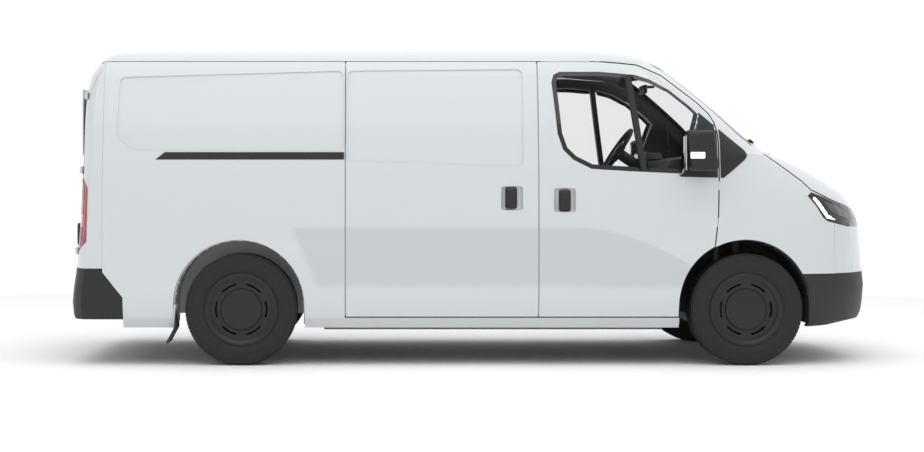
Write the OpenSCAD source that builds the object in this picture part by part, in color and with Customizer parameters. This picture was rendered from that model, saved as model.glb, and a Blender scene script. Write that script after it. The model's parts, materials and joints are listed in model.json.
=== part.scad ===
// Panel van: electric, mid-size, front doors, one sliding door, two rear doors.
// +X is forward, +Y is the driver's (left) side, +Z is up. The ground is z = 0
// and the origin lies under the middle of the vehicle.

/* [Overall size] */
// Distance between the axles
wheelbase = 3100; // [2900:10:3750]
// Front axle to the front of the bumper
front_overhang = 885; // [860:5:940]
// Rear axle to the back of the bumper
rear_overhang = 1085; // [900:5:1300]
// Width of the body without mirrors
body_w = 1980; // [1880:10:2376]
// Height of the roof above the ground
roof_h = 1990; // [1900:10:2388]

/* [Walls] */
// Thickness of the side walls and side doors
side_wall = 60; // [50:1:72]
// Thickness of the nose, the windscreen frame and the rear doors
end_wall = 45; // [37:1:54]
// Thickness of the roof
roof_wall = 35; // [29:1:42]
// Gap round each door and lid
shut_gap = 8; // [7:0.5:10]
// Thickness of the glass
glass_t = 5; // [4:0.5:6]

/* [Wheels] */
// Outer diameter of the tyres
tyre_d = 686; // [600:2:700]
// Width of the tyres
tyre_w = 215; // [180:1:225]
// Diameter of the wheel rim at its flange
rim_d = 445; // [400:1:460]
// Distance between the tyre centres of one axle
track = 1700; // [1640:5:1710]
// Pitch circle of the wheel bolts
bolt_pcd = 108; // [100:1:120]
// Radius of the wheel arches
arch_r = 402; // [395:1:420]

/* [Load space] */
// Height of the load floor above the ground
floor_z = 560; // [540:5:600]
// Thickness of the load floor
floor_t = 40; // [33:1:48]
// Inner distance between the rear wheel housings
housing_gap = 1250; // [1200:5:1280]

/* [Steering] */
// Diameter of the steering wheel
steering_wheel_d = 380; // [340:5:400]
// Rake of the steering column above the horizontal
column_rake = 34; // [25:1:40]

/* [Hidden] */

// Finish colours
WHITE = "#dfe3e5";
BLACK_PLASTIC = "#26292c";
GREY_PLASTIC = "#3a3d40";
STEEL = "#6d7073";
TYRE = "#1b1b1c";

// Ends and axles
body_l = front_overhang + wheelbase + rear_overhang;
front_x = body_l / 2;
rear_x = -body_l / 2;
axle_f = front_x - front_overhang;
axle_r = rear_x + rear_overhang;
half_w = body_w / 2;
wheel_z = tyre_d / 2;
wheel_y = track / 2;
// Small clearances
fit = 0.05;
air = 6;
far = 4000;

// ---- Body surface: a stack of level outlines -------------------------------
// Each row: height, how far the side, the rear end and the front centre stand in
// from the overall size, how deep the nose curve is and how square it is.
belt_z = 1150;
ROOF_H0 = 1990;
LEVELS = [
    [232, 62, 70, 190, 820, 3],
    [268, 46, 12, 34, 930, 3],
    [310, 36, 3, 14, 950, 3],
    [385, 16, 0, 6, 960, 3],
    [478, 3, 10, 0, 965, 3],
    [560, 7, 22, 8, 960, 3],
    [700, 7, 36, 20, 950, 3],
    [850, 0, 48, 38, 940, 3],
    [900, 3, 51, 48, 935, 3],
    [955, 4, 53, 76, 930, 3],
    [1004, 5, 56, 104, 930, 3],
    [1046, 6, 58, 138, 925, 3],
    [1105, 8, 60, 216, 905, 3],
    [1150, 10, 61, 288, 880, 3],
    [1200, 13, 63, 376, 815, 3],
    [1245, 18, 65, 478, 680, 3],
    [1290, 24, 67, 588, 520, 2.9],
    [1320, 28, 68, 656, 476, 2.8],
    [1350, 32, 69, 692, 456, 2.7],
    [1420, 41, 70, 774, 450, 2.6],
    [1500, 52, 71, 862, 450, 2.6],
    [1600, 69, 75, 972, 446, 2.6],
    [1700, 90, 85, 1094, 440, 2.6],
    [1780, 109, 100, 1196, 432, 2.6],
    [1830, 126, 128, 1266, 424, 2.6],
    [1866, 146, 152, 1322, 416, 2.6],
    [1892, 172, 174, 1368, 408, 2.6],
    [1914, 212, 196, 1416, 400, 2.6],
    [1932, 268, 226, 1462, 392, 2.6],
    [1948, 345, 330, 1520, 384, 2.6],
    [1962, 450, 600, 1588, 374, 2.6],
    [1974, 580, 1050, 1690, 360, 2.6],
    [1983, 720, 1600, 1850, 340, 2.6],
    [1990, 890, 2150, 2150, 300, 2.6]
];
FRONT_STEPS = 11;
REAR_STEPS = 7;
REAR_CURVE = 200;
REAR_SQUARE = 4;

// Heights above the belt stretch with the roof height
function level_z(z) = z <= belt_z ? z : belt_z + (z - belt_z) * (roof_h - belt_z) / (ROOF_H0 - belt_z);
function sign_pow(v, n) = sign(v) * pow(abs(v), 2 / n);
// One closed outline, with the walls moved in by ix at the ends, iy at the sides, iz at the top
function outline(row, ix, iy, iz) =
    let (
        w = half_w - row[1],
        tail = rear_x + row[2],
        nose = front_x - row[3],
        z = level_z(row[0]) * (1 - iz / roof_h),
        kx = 1 - 2 * ix / body_l,
        ky = 1 - iy / half_w
    ) concat(
        [for (i = [-FRONT_STEPS : FRONT_STEPS]) let (a = 90 * i / FRONT_STEPS)
            [(nose - row[4] + row[4] * sign_pow(cos(a), row[5])) * kx, w * sign_pow(sin(a), row[5]) * ky, z]],
        [for (i = [-REAR_STEPS : REAR_STEPS]) let (a = 180 + 90 * i / REAR_STEPS)
            [(tail + REAR_CURVE + REAR_CURVE * sign_pow(cos(a), REAR_SQUARE)) * kx,
                w * sign_pow(sin(a), REAR_SQUARE) * ky, z]]);

module body_solid(ix = 0, iy = 0, iz = 0) {
    rows = len(LEVELS);
    ring = 2 * FRONT_STEPS + 2 * REAR_STEPS + 2;
    points = [for (row = LEVELS) each outline(row, ix, iy, iz)];
    bottom = [for (j = [0 : ring - 1]) j];
    top = [for (j = [ring - 1 : -1 : 0]) (rows - 1) * ring + j];
    sides = [for (i = [0 : rows - 2], j = [0 : ring - 1])
        let (a = i * ring + j, b = i * ring + (j + 1) % ring) each [[a, a + ring, b + ring], [a, b + ring, b]]];
    polyhedron(points = points, faces = concat([bottom, top], sides), convexity = 8);
}

// The whole outer wall, without its cuts
module shell() {
    difference() {
        body_solid();
        body_solid(end_wall, side_wall, roof_wall);
    }
}

// Side view outline pushed sideways from y0 outward; side is -1 right, 1 left, 0 both
module side_prism(side, y0 = 0, y1 = far) {
    if (side <= 0) rotate([90, 0, 0]) translate([0, 0, y0]) linear_extrude(y1 - y0) children();
    if (side >= 0) mirror([0, 1, 0]) rotate([90, 0, 0]) translate([0, 0, y0]) linear_extrude(y1 - y0) children();
}

// Rectangle from two corners
module rect(x0, z0, x1, z1) {
    translate([x0, z0]) square([x1 - x0, z1 - z0]);
}
// Box from two corners
module block(x0, y0, z0, x1, y1, z1) {
    translate([x0, y0, z0]) cube([x1 - x0, y1 - y0, z1 - z0]);
}
// Keeps a faceted solid as one clean mesh
module mesh() {
    resize([0, 0, 0]) children();
}

// ---- Shut lines in side view ------------------------------------------------
sill_top = 297;
seam_z = level_z(1874);
slide_rear = axle_r + 640;
slide_front = axle_f - 1278;
door_front = axle_f - 175;
corner_x = rear_x + 240;
arch_f = [axle_f - 12, wheel_z + 27];
arch_b = [axle_r - 12, wheel_z + 27];

module arch_hole(at, r) {
    translate(at) circle(r, $fn = 72);
    rect(at[0] - r, -10, at[0] + r, at[1]);
}
// Front door with its frame round the window
module door_shape() {
    difference() {
        polygon([[slide_front, sill_top], [slide_front, seam_z - 2], [axle_f - 900, seam_z - 2],
            [axle_f - 654, level_z(1851)], [axle_f - 500, level_z(1788)], [axle_f - 286, level_z(1622)],
            [axle_f - 212, level_z(1548)], [axle_f - 187, level_z(1493)], [door_front, level_z(1413)],
            [door_front, 1150], [door_front - 6, 923], [axle_f - 200, 733], [axle_f - 200, sill_top]]);
        arch_hole(arch_f, arch_r);
    }
}
// Glazed area of the front door
module window_shape() {
    polygon([[axle_f - 1127, level_z(1322)], [axle_f - 1160, level_z(1420)], [axle_f - 1192, level_z(1740)],
        [axle_f - 1180, level_z(1786)], [axle_f - 1142, level_z(1806)], [axle_f - 894, level_z(1806)],
        [axle_f - 678, level_z(1787)], [axle_f - 586, level_z(1759)], [axle_f - 463, level_z(1692)],
        [axle_f - 340, level_z(1592)], [axle_f - 292, level_z(1544)], [axle_f - 404, level_z(1176)],
        [axle_f - 770, level_z(1193)], [axle_f - 955, level_z(1205)], [axle_f - 1066, level_z(1261)]]);
}
// Slanted bar between the drop glass and the small front glass
module window_bar() {
    polygon([[axle_f - 742, level_z(1830)], [axle_f - 708, level_z(1830)],
        [axle_f - 610, level_z(1160)], [axle_f - 644, level_z(1160)]]);
}
// Bonnet edge in side view: everything above this line
module bonnet_shape() {
    polygon([[axle_f + 60, level_z(1500)], [axle_f + 60, level_z(1345)], [axle_f + 150, level_z(1288)],
        [axle_f + 275, level_z(1195)], [axle_f + 358, 1132], [axle_f + 412, 1078], [axle_f + 560, 1012],
        [axle_f + 700, 966], [front_x + 60, 890], [front_x + 60, level_z(1500)]]);
}
// Room that the bonnet fills; its rear edge follows the curved foot of the windscreen
cowl_depth = 40;
foot_row = [for (row = LEVELS) if (row[0] == 1320) row][0];
module bonnet_space(grow) {
    difference() {
        side_prism(0) offset(delta = grow) bonnet_shape();
        translate([cowl_depth - grow, 0, 900]) linear_extrude(far)
            polygon([for (p = outline(foot_row, 0, 0, 0)) [p[0], p[1]]]);
    }
}
module bumper_shape() {
    rect(axle_f + 330, 200, front_x + 60, 562);
}
module headlight_shape() {
    polygon([[axle_f + 385, 1040], [axle_f + 412, 1062], [axle_f + 500, 1030], [axle_f + 560, 1004],
        [axle_f + 700, 958], [front_x + 40, 884], [front_x + 40, 846], [axle_f + 661, 850],
        [axle_f + 512, 884], [axle_f + 480, 908], [axle_f + 440, 975]]);
}
module tail_light_shape() {
    polygon([[rear_x - 60, 1378], [rear_x + 84, 1378], [rear_x + 115, 1322], [rear_x + 109, 1156],
        [rear_x + 146, 1088], [rear_x + 140, 762], [rear_x + 72, 690], [rear_x - 60, 690]]);
}
// Rear bumper, with its chamfered front edge
bumper_top = 596;
module rear_bumper_shape() {
    polygon([[rear_x - 60, 200], [rear_x + 362, 200], [rear_x + 362, 419],
        [rear_x + 221, bumper_top], [rear_x - 60, bumper_top]]);
}
// Sunk fields of the upper side panels
module recess_shape() {
    offset(r = 38) offset(delta = -38) {
        polygon([[slide_rear + 12, level_z(1812)], [slide_front - 92, level_z(1822)],
            [slide_front - 92, level_z(1216)], [slide_rear + 12, level_z(1252)]]);
        polygon([[rear_x + 336, level_z(1772)], [slide_rear - 12, level_z(1812)],
            [slide_rear - 12, level_z(1314)], [rear_x + 420, level_z(1318)], [rear_x + 324, level_z(1400)]]);
    }
}
recess_depth = 8;
module recess(side) {
    difference() {
        side_prism(side, 400) recess_shape();
        body_solid(0.5, recess_depth, 0.5);
    }
}
rail_z = level_z(1262);
rail_h = 46;
module rail_shape() {
    polygon([[rear_x + 562, rail_z], [slide_rear - shut_gap, rail_z],
        [slide_rear - shut_gap, rail_z + rail_h], [rear_x + 620, rail_z + rail_h]]);
}
// Rear door opening seen from behind
rear_opening = half_w - 136;
door_top = level_z(1862);
module rear_opening_cut(grow) {
    block(rear_x - 200, -rear_opening - grow, bumper_top + air - grow,
        rear_x + 225, rear_opening + grow, door_top + grow);
}
// Windscreen opening seen from the front
screen_low = level_z(1352);
screen_top = level_z(1868);
module screen_cut(grow = 0) {
    rotate([90, 0, 90]) translate([0, 0, axle_f - 560]) linear_extrude(2000)
        offset(delta = grow)
            polygon([[-half_w + 196, screen_low], [half_w - 196, screen_low],
                [half_w - 318, screen_top], [-half_w + 318, screen_top]]);
}

// ---- Body panels --------------------------------------------------------------
half_gap = shut_gap / 2;

module side_panel(side) {
    panel_front = side < 0 ? slide_rear : slide_front;
    color(WHITE) mesh() difference() {
        intersection() {
            shell();
            side_prism(side, half_w - 255) {
                rect(corner_x, 232, panel_front - half_gap, seam_z - half_gap);
                rect(corner_x, 232, arch_f[0], sill_top - half_gap);
            }
        }
        side_prism(side, 300) {
            arch_hole(arch_f, arch_r + 0.9);
            arch_hole(arch_b, arch_r + 0.9);
            offset(delta = 1) rear_bumper_shape();
        }
        recess(side);
        if (side < 0) difference() {
            side_prism(side, 300) rail_shape();
            body_solid(0.5, 14, 0.5);
        }
    }
}
module side_panel_right() { side_panel(-1); }
module side_panel_left() { side_panel(1); }

module sliding_door() {
    color(WHITE) mesh() difference() {
        intersection() {
            shell();
            side_prism(-1, 300) rect(slide_rear + half_gap, sill_top + half_gap,
                slide_front - half_gap, seam_z - half_gap);
        }
        recess(-1);
    }
}

// Guide rail of the sliding door, let into the rear side panel
module slide_rail() {
    color(BLACK_PLASTIC) mesh() intersection() {
        difference() {
            body_solid(0, -3, 0);
            body_solid(0.5, 14, 0.5);
        }
        side_prism(-1, 300) offset(delta = -1) rail_shape();
    }
}

// Rear corners, and behind them the inner posts and header that the rear doors close on
post_air = 0.5;
module rear_portal() {
    header_x = rear_x + 238;
    color(WHITE) {
        mesh() difference() {
            intersection() {
                shell();
                block(rear_x - 100, -half_w, bumper_top + 0.5, corner_x - 1, half_w, seam_z - half_gap);
            }
            rear_opening_cut(shut_gap);
            side_prism(0, half_w - 230) offset(delta = 1) tail_light_shape();
            block(rear_x - 1, 300 - half_w, door_top - 60, corner_x, half_w - 300, seam_z + 10);
        }
        mesh() difference() {
            union() {
                intersection() {
                    body_solid(end_wall + post_air, side_wall + post_air, roof_wall + post_air);
                    block(rear_x + 90, -half_w, floor_z + 0.5, corner_x - 3, half_w, seam_z - half_gap - 1);
                }
                block(header_x, 260 - half_w, seam_z - 70, header_x + 50, half_w - 260, seam_z - half_gap - 1);
            }
            intersection() {
                body_solid(end_wall + post_air - 0.1, side_wall + 70, roof_wall + 75);
                block(rear_x, -half_w, 0, header_x + 2, half_w, seam_z + 50);
            }
            difference() {
                rear_opening_cut(shut_gap);
                body_solid(end_wall + 9, side_wall + 9, roof_wall + 9);
            }
            for (side = [-1, 1], a = [4, 11, 19, 28, 38, 48]) door_swing(side, a);
        }
    }
}

// The space a rear door's edge sweeps beside the post as it opens by the angle a
hinge_x = rear_x + 5;
hinge_y = rear_opening + 8;
module door_swing(side, a) {
    translate([hinge_x, side * hinge_y, 0]) rotate([0, 0, -side * a]) translate([-hinge_x, -side * hinge_y, 0])
        difference() {
            block(rear_x + 50, side < 0 ? -rear_opening - 14 : 640, 1100,
                rear_x + 260, side < 0 ? -640 : rear_opening + 14, 1800);
            body_solid(end_wall + 16, side_wall + 16, roof_wall + 16);
        }
}

module roof_panel() {
    color(WHITE) mesh() difference() {
        intersection() {
            shell();
            block(-far, -half_w, seam_z, far, half_w, roof_h + 10);
        }
        // Ribs pressed into the roof between the doors
        for (i = [-2 : 2]) translate([0, i * 230, roof_h])
            block(axle_r - 500, -20, -5, axle_f - 1300, 20, 100);
    }
}

// Screen pillars, cowl and door posts
module cab_frame() {
    color(WHITE) mesh() {
        difference() {
            intersection() {
                shell();
                block(axle_f - 1100, -half_w, level_z(1292), front_x, half_w, seam_z - 0.5);
            }
            side_prism(0, 200) offset(delta = half_gap) door_shape();
            bonnet_space(half_gap);
            screen_cut();
            block(axle_f - 1200, -half_w, 0, axle_f - 950, half_w, far);
        }
        // Hinge leaves of the bonnet
        for (y = [-625, 575]) difference() {
            block(axle_f + 130, y, level_z(1293), axle_f + 260, y + 50, level_z(1308));
            bonnet_space(leaf_air - half_gap);
        }
        // Post between the front and the side door, on both sides
        difference() {
            intersection() {
                body_solid(end_wall, side_wall, roof_wall);
                block(slide_front - 60, -half_w, floor_z + 0.5, slide_front + 40, half_w, far);
            }
            body_solid(end_wall, side_wall + 55, roof_wall + 40);
            difference() {
                side_prism(0, 300) offset(delta = shut_gap) door_shape();
                body_solid(end_wall + 9, side_wall + 9, roof_wall + 9);
            }
            block(-far, -half_w, level_z(1940), far, half_w, far);
        }
    }
}

module windscreen() {
    color("#8fa3a8") mesh() intersection() {
        difference() {
            body_solid(1.5, 1.5, 1.5);
            body_solid(1.5 + glass_t * 1.6, 1.5 + glass_t, 1.5 + glass_t * 1.6);
        }
        screen_cut(-0.5);
    }
}

// Fixed hinge leaves fill the shut gap: z is where each starts
leaf_h = 55;
leaf_air = 0.3;
module door_leaves() {
    for (z = [850, 1075]) difference() {
        side_prism(0, half_w - 56, half_w - 8) rect(door_front - 20, z, door_front + 12, z + leaf_h);
        side_prism(0, 300) offset(delta = leaf_air - half_gap) door_shape();
    }
}

module fenders() {
    color(WHITE) mesh() difference() {
        union() {
            intersection() {
                shell();
                side_prism(0, 500) difference() {
                    rect(door_front - 30, 562, axle_f + 560, level_z(1292) - 0.5);
                    offset(delta = half_gap) door_shape();
                }
            }
            door_leaves();
        }
        side_prism(0, 300) {
            arch_hole(arch_f, arch_r + 0.9);
            offset(delta = 1) headlight_shape();
        }
        bonnet_space(half_gap);
    }
}

// Nose between the headlights
module front_panel() {
    color(WHITE) mesh() difference() {
        intersection() {
            shell();
            block(axle_f + 561, -half_w, 563, front_x + 10, half_w, 1040);
        }
        bonnet_space(half_gap);
        side_prism(0, 560) offset(delta = 1) headlight_shape();
    }
}

module front_bumper() {
    color(GREY_PLASTIC) mesh() difference() {
        intersection() {
            shell();
            side_prism(0) bumper_shape();
        }
        side_prism(0, 300) arch_hole(arch_f, arch_r + 0.9);
        // Cooling intake, with its two bars left standing
        for (z = [300, 355, 410]) block(axle_f + 700, -430, z, far, 430, z + 42);
    }
}

module rear_bumper() {
    color(BLACK_PLASTIC) mesh() difference() {
        intersection() {
            shell();
            side_prism(0) rear_bumper_shape();
            block(-far, -half_w, 283, 0, half_w, bumper_top);
        }
        block(floor_rear - 1, -floor_half - 1, floor_low - 1, 0, floor_half + 1, floor_z + 1);
    }
}

module headlights() {
    color("#3b4247") mesh() intersection() {
        difference() {
            body_solid(1, 1, 1);
            body_solid(end_wall + 40, side_wall + 30, roof_wall);
        }
        side_prism(0, 561) headlight_shape();
    }
}

module tail_lights() {
    color("#b3303a") mesh() difference() {
        intersection() {
            shell();
            side_prism(0, half_w - 229) tail_light_shape();
        }
        rear_opening_cut(shut_gap);
    }
}

module bonnet() {
    color(WHITE) mesh() intersection() {
        shell();
        bonnet_space(-half_gap);
    }
}

// ---- Front doors ----------------------------------------------------------------
module front_door(side) {
    color(WHITE) mesh() difference() {
        intersection() {
            shell();
            side_prism(side, 300) offset(delta = -half_gap) difference() {
                door_shape();
                arch_hole(arch_f, arch_r + 2);
            }
        }
        side_prism(side, 300) difference() {
            window_shape();
            window_bar();
        }
    }
}
module front_door_right() { front_door(-1); }
module front_door_left() { front_door(1); }

module front_door_glass(side) {
    color("#8fa3a8") mesh() intersection() {
        difference() {
            body_solid(2, 2, 2);
            body_solid(2 + glass_t, 2 + glass_t, 2 + glass_t);
        }
        side_prism(side, 300) offset(delta = -0.5) difference() {
            window_shape();
            window_bar();
        }
    }
}
module front_door_glass_right() { front_door_glass(-1); }
module front_door_glass_left() { front_door_glass(1); }

// Door mirror: a rounded shell on a short arm, its foot on the door's corner plate
mirror_x = axle_f - 300;
mirror_z = level_z(1314);
mirror_y = half_w + 112;
module door_mirror(side) {
    lean = side < 0 ? 0 : 1;
    color(BLACK_PLASTIC) mesh() mirror([0, lean, 0]) difference() {
        union() {
            hull() {
                for (x = [-68, 56], z = [-96, 96])
                    translate([mirror_x + x - z * 0.12, -mirror_y, mirror_z + z])
                        scale([1, 1.9, 1]) sphere(28, $fn = 24);
            }
            hull() {
                translate([mirror_x + 20, 60 - mirror_y, mirror_z - 84]) sphere(20, $fn = 16);
                translate([mirror_x + 62, 180 - mirror_y, mirror_z - 104]) sphere(24, $fn = 16);
            }
        }
        body_solid(-0.7, -0.7, -0.7);
    }
}
module mirror_right() { door_mirror(-1); }
module mirror_left() { door_mirror(1); }

// ---- Rear doors ------------------------------------------------------------------
door_split = 5;
module rear_door(side) {
    color(WHITE) mesh() intersection() {
        shell();
        difference() {
            rear_opening_cut(0);
            block(rear_x - 300, side < 0 ? -door_split : -far, 0, rear_x + 400, side < 0 ? far : door_split, far);
        }
    }
}
module rear_door_right() { rear_door(-1); }
module rear_door_left() { rear_door(1); }

// ---- Floor, frame and heavy masses ------------------------------------------------
// Half width of the room between the side walls, at the load floor
inner_half = (half_w - 7) * (1 - side_wall / half_w);
floor_half = inner_half - 1.2;
liner_in_f = 540;
liner_in_b = housing_gap / 2;
liner_out = half_w - 50;
liner_t = 5;
floor_low = floor_z - floor_t;
floor_rear = rear_x + 90;
wall_x = axle_f - 155;
lashing_x = [axle_r - 620, axle_r + 620, slide_front - 420];
lashing_y = housing_gap / 2 - 60;
lashing_r = 5;
eye_r = 8.5;
eye_y = 330;
eye_z = 431;
rail_in = 430;
rail_out = 500;
rail_low = 400;

module floor() {
    color("#8b9096") difference() {
        union() {
            block(floor_rear, -floor_half, floor_low, arch_b[0] - arch_r - 2, floor_half, floor_z);
            block(floor_rear, 0.5 - liner_in_b, floor_low, slide_front, liner_in_b - 0.5, floor_z);
            block(arch_b[0] + arch_r + 2, -floor_half, floor_low, slide_front - 12, floor_half, floor_z);
            block(slide_front - 13, 14 - floor_half, floor_low, arch_f[0] - arch_r - 6, floor_half - 14, floor_z);
            block(slide_front, 6 - liner_in_f, floor_low, wall_x + 15, liner_in_f - 6, floor_z);
            // Front wall between the cab and the motor
            block(wall_x, 6 - liner_in_f, floor_low, wall_x + 15, liner_in_f - 6, 1235);
            block(wall_x, 110 - half_w, arch_f[1] + arch_r + 10, wall_x + 15, half_w - 110, 1235);
        }
        for (x = lashing_x, y = [-lashing_y, lashing_y])
            translate([x, y, floor_low - 1]) cylinder(r = lashing_r, h = floor_t + 2, $fn = 32);
    }
}

module underframe() {
    tail = rear_x + 120;
    nose = front_x - 190;
    tower = 900;
    post_x = axle_f + 395;
    color(BLACK_PLASTIC) {
        difference() {
            union() {
                for (y = [-rail_out, rail_in])
                    block(tail, y, rail_low, nose, y + rail_out - rail_in, floor_low);
                block(tail - 30, -700, rail_low, tail, 700, floor_low);
                for (x = [axle_r - 330, axle_r + 560, slide_front - 200, axle_f - 420])
                    block(x, -rail_in, rail_low + 20, x + 60, rail_in, floor_low);
                block(nose, -560, rail_low, nose + 45, 560, floor_low);
                // Upper rails over the front wheels, on posts from the lower rails
                for (y = [-640, 580]) block(wall_x + 15, y, tower - 20, post_x + 45, y + 60, tower + 30);
                for (y = [-640, 440]) block(post_x, y, tower - 20, post_x + 45, y + 200, tower + 30);
                for (y = [-500, 440]) block(post_x, y, floor_low - 1, post_x + 45, y + 60, tower + 30);
            }
            // Threaded socket for the towing eye, reached through the upper intake slot
            translate([nose - 1, -eye_y, eye_z]) rotate([0, 90, 0]) cylinder(r = eye_r, h = 47, $fn = 32);
        }
    }
}

module battery_pack() {
    color(GREY_PLASTIC) difference() {
        block(axle_r + 500, -640, 195, axle_f - 470, 640, rail_low);
        for (y = [-641, 611]) block(axle_r + 490, y, 194, axle_f - 460, y + 30, 250);
    }
}

module drive_unit() {
    color(STEEL) {
        block(axle_f - 60, -300, 306, axle_f + 330, 300, 640);
        translate([axle_f, 390, wheel_z]) rotate([90, 0, 0]) cylinder(r = 60, h = 780, $fn = 48);
    }
}

module bulkhead() {
    color("#b9bdc0") mesh() intersection() {
        body_solid(end_wall, side_wall + 0.8, roof_wall + 0.8);
        block(slide_front - 300, -half_w, floor_z, slide_front - 270, half_w, roof_h);
    }
}

// ---- Cab fittings --------------------------------------------------------------------
seat_y = 410;
seat_x = slide_front + 100;
wheel_at = [axle_f - 606, seat_y, 1342];
column_dir = [-cos(column_rake), 0, sin(column_rake)];
pin_r = 12;
module along_column() {
    translate(wheel_at) rotate([0, column_rake - 90, 0]) children();
}

module dashboard() {
    color(GREY_PLASTIC) {
        intersection() {
            side_prism(0, -1, half_w) polygon([[wall_x, 880], [axle_f - 330, 880], [axle_f - 480, 1000],
                [axle_f - 500, 1170], [axle_f - 440, 1262], [axle_f - 260, 1296], [axle_f + 130, 1296],
                [axle_f + 130, 1262], [wall_x + 30, 1240], [wall_x, 1235]]);
            translate([0, 0, 800]) linear_extrude(600)
                polygon([[axle_f - 520, 130 - half_w], [axle_f - 150, 130 - half_w], [axle_f + 110, 390 - half_w],
                    [axle_f + 130, 0], [axle_f + 110, half_w - 390], [axle_f - 150, half_w - 130],
                    [axle_f - 520, half_w - 130]]);
        }
        along_column() {
            translate([0, 0, -190]) cylinder(r = 38, h = 150, $fn = 40);
            translate([0, 0, -60]) cylinder(r = pin_r, h = 65, $fn = 40);
        }
    }
}

module steering_wheel() {
    ring_r = 15;
    color(BLACK_PLASTIC) along_column() {
        rotate_extrude($fn = 72) translate([steering_wheel_d / 2 - ring_r, 0]) circle(ring_r, $fn = 24);
        difference() {
            translate([0, 0, -34]) cylinder(r = 62, h = 46, $fn = 48);
            translate([0, 0, -35]) cylinder(r = pin_r + fit, h = 41, $fn = 40);
        }
        for (a = [90, 210, 330]) rotate([0, 0, a + 90])
            translate([50, -17, -12]) cube([steering_wheel_d / 2 - 50 - ring_r, 34, 16]);
    }
}

module seat(y, w) {
    x = seat_x;
    translate([0, y - w / 2, 0]) {
        block(x - 10, 20, floor_z, x + 400, w - 20, 760);
        block(x - 60, 0, 760, x + 450, w, 900);
        translate([x - 60, 0, 901]) rotate([0, -14, 0]) block(-110, 0, 0, 0, w, 560);
    }
}
module headrest(y) {
    translate([seat_x - 60, y, 901]) rotate([0, -14, 0]) {
        block(-95, -125, 590, -15, 125, 770);
        for (s = [-60, 60]) translate([-55, s, 559]) cylinder(r = 6, h = 32, $fn = 24);
    }
}
module seats() {
    color("#3d4043") {
        seat(seat_y, 520);
        headrest(seat_y);
        seat(-320, 880);
        for (y = [-540, -100]) headrest(y);
    }
}

// ---- Wheel arches, wipers ---------------------------------------------------------------
module liner(at, inner, side) {
    side_prism(side, inner, liner_out) difference() {
        arch_hole(at, arch_r);
        arch_hole(at, arch_r - liner_t);
        rect(at[0] - far, -100, at[0] + far, 255);
    }
}
module liner_wall(at, inner, side) {
    side_prism(side, inner, inner + liner_t) difference() {
        arch_hole(at, arch_r - 1);
        rect(at[0] - far, -100, at[0] + far, 300);
    }
}
module wheel_arch_liners() {
    flap_x = arch_b[0] - arch_r;
    color(BLACK_PLASTIC) for (side = [-1, 1]) {
        difference() {
            union() {
                liner(arch_f, liner_in_f, side);
                liner_wall(arch_f, liner_in_f, side);
            }
            side_prism(side, 500, 560) rect(axle_f - 110, 200, axle_f + 110, 505);
            translate([axle_f, side * 600, 500]) cylinder(r = 62, h = 400, $fn = 40);
        }
        difference() {
            union() {
                liner(arch_b, liner_in_b, side);
                liner_wall(arch_b, liner_in_b, side);
            }
            side_prism(side, 600, 640) translate([axle_r, wheel_z - 30]) circle(110, $fn = 48);
        }
        // Mud flap behind the rear wheel
        side_prism(side, track / 2 - 100, liner_out + 20)
            polygon([[flap_x + 1, 372], [flap_x + 15, 372], [flap_x + 15, 226], [flap_x - 32, 138],
                [flap_x - 46, 140], [flap_x + 1, 228]]);
    }
}

module wipers() {
    color(BLACK_PLASTIC) mesh() intersection() {
        difference() {
            body_solid(-11, -11, -11);
            body_solid(1, 1, 1);
        }
        rotate([90, 0, 90]) translate([0, 0, axle_f]) linear_extrude(600) {
            polygon([[-640, screen_low + 32], [40, screen_low + 8], [40, screen_low + 22], [-640, screen_low + 44]]);
            polygon([[90, screen_low + 32], [690, screen_low + 8], [690, screen_low + 22], [90, screen_low + 44]]);
        }
    }
}

// ---- Suspension ------------------------------------------------------------------------------
king_y = track / 2 - 60;
king_pin_r = 11;
upright_h = 110;
stub_r = 32.5;
joint_air = 0.3;
pin_len = 30;

module front_suspension() {
    low = wheel_z - upright_h - joint_air;
    high = wheel_z + upright_h + joint_air;
    arm_t = 26;
    coil_y = 600;
    color(STEEL) {
        block(axle_f - 200, -430, low - arm_t, axle_f + 200, 430, low + 50);
        for (y = [-430, 370]) for (x = [axle_f - 190, axle_f + 130])
            block(x, y, low + 50, x + 60, y + 60, rail_low);
        for (side = [-1, 1]) mirror([0, side < 0 ? 1 : 0, 0]) {
            // Lower arm with its kingpin
            block(axle_f - 90, 400, low - arm_t, axle_f + 90, 650, low);
            block(axle_f - 24, 640, low - arm_t, axle_f + 24, king_y + 22, low);
            translate([axle_f, king_y, low - 1]) cylinder(r = king_pin_r, h = pin_len + 1, $fn = 32);
            // Upper fork with its kingpin
            for (x = [-72, 50]) block(axle_f + x, rail_out, high, axle_f + x + 22, 690, high + arm_t);
            block(axle_f - 72, 668, high, axle_f + 72, 690, high + arm_t);
            block(axle_f - 24, 680, high, axle_f + 24, king_y + 22, high + arm_t);
            translate([axle_f, king_y, high - pin_len]) cylinder(r = king_pin_r, h = pin_len + 1, $fn = 32);
            // Coil spring and damper
            translate([axle_f, coil_y, low]) cylinder(r = 40, h = 880 - low, $fn = 40);
        }
    }
}

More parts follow.
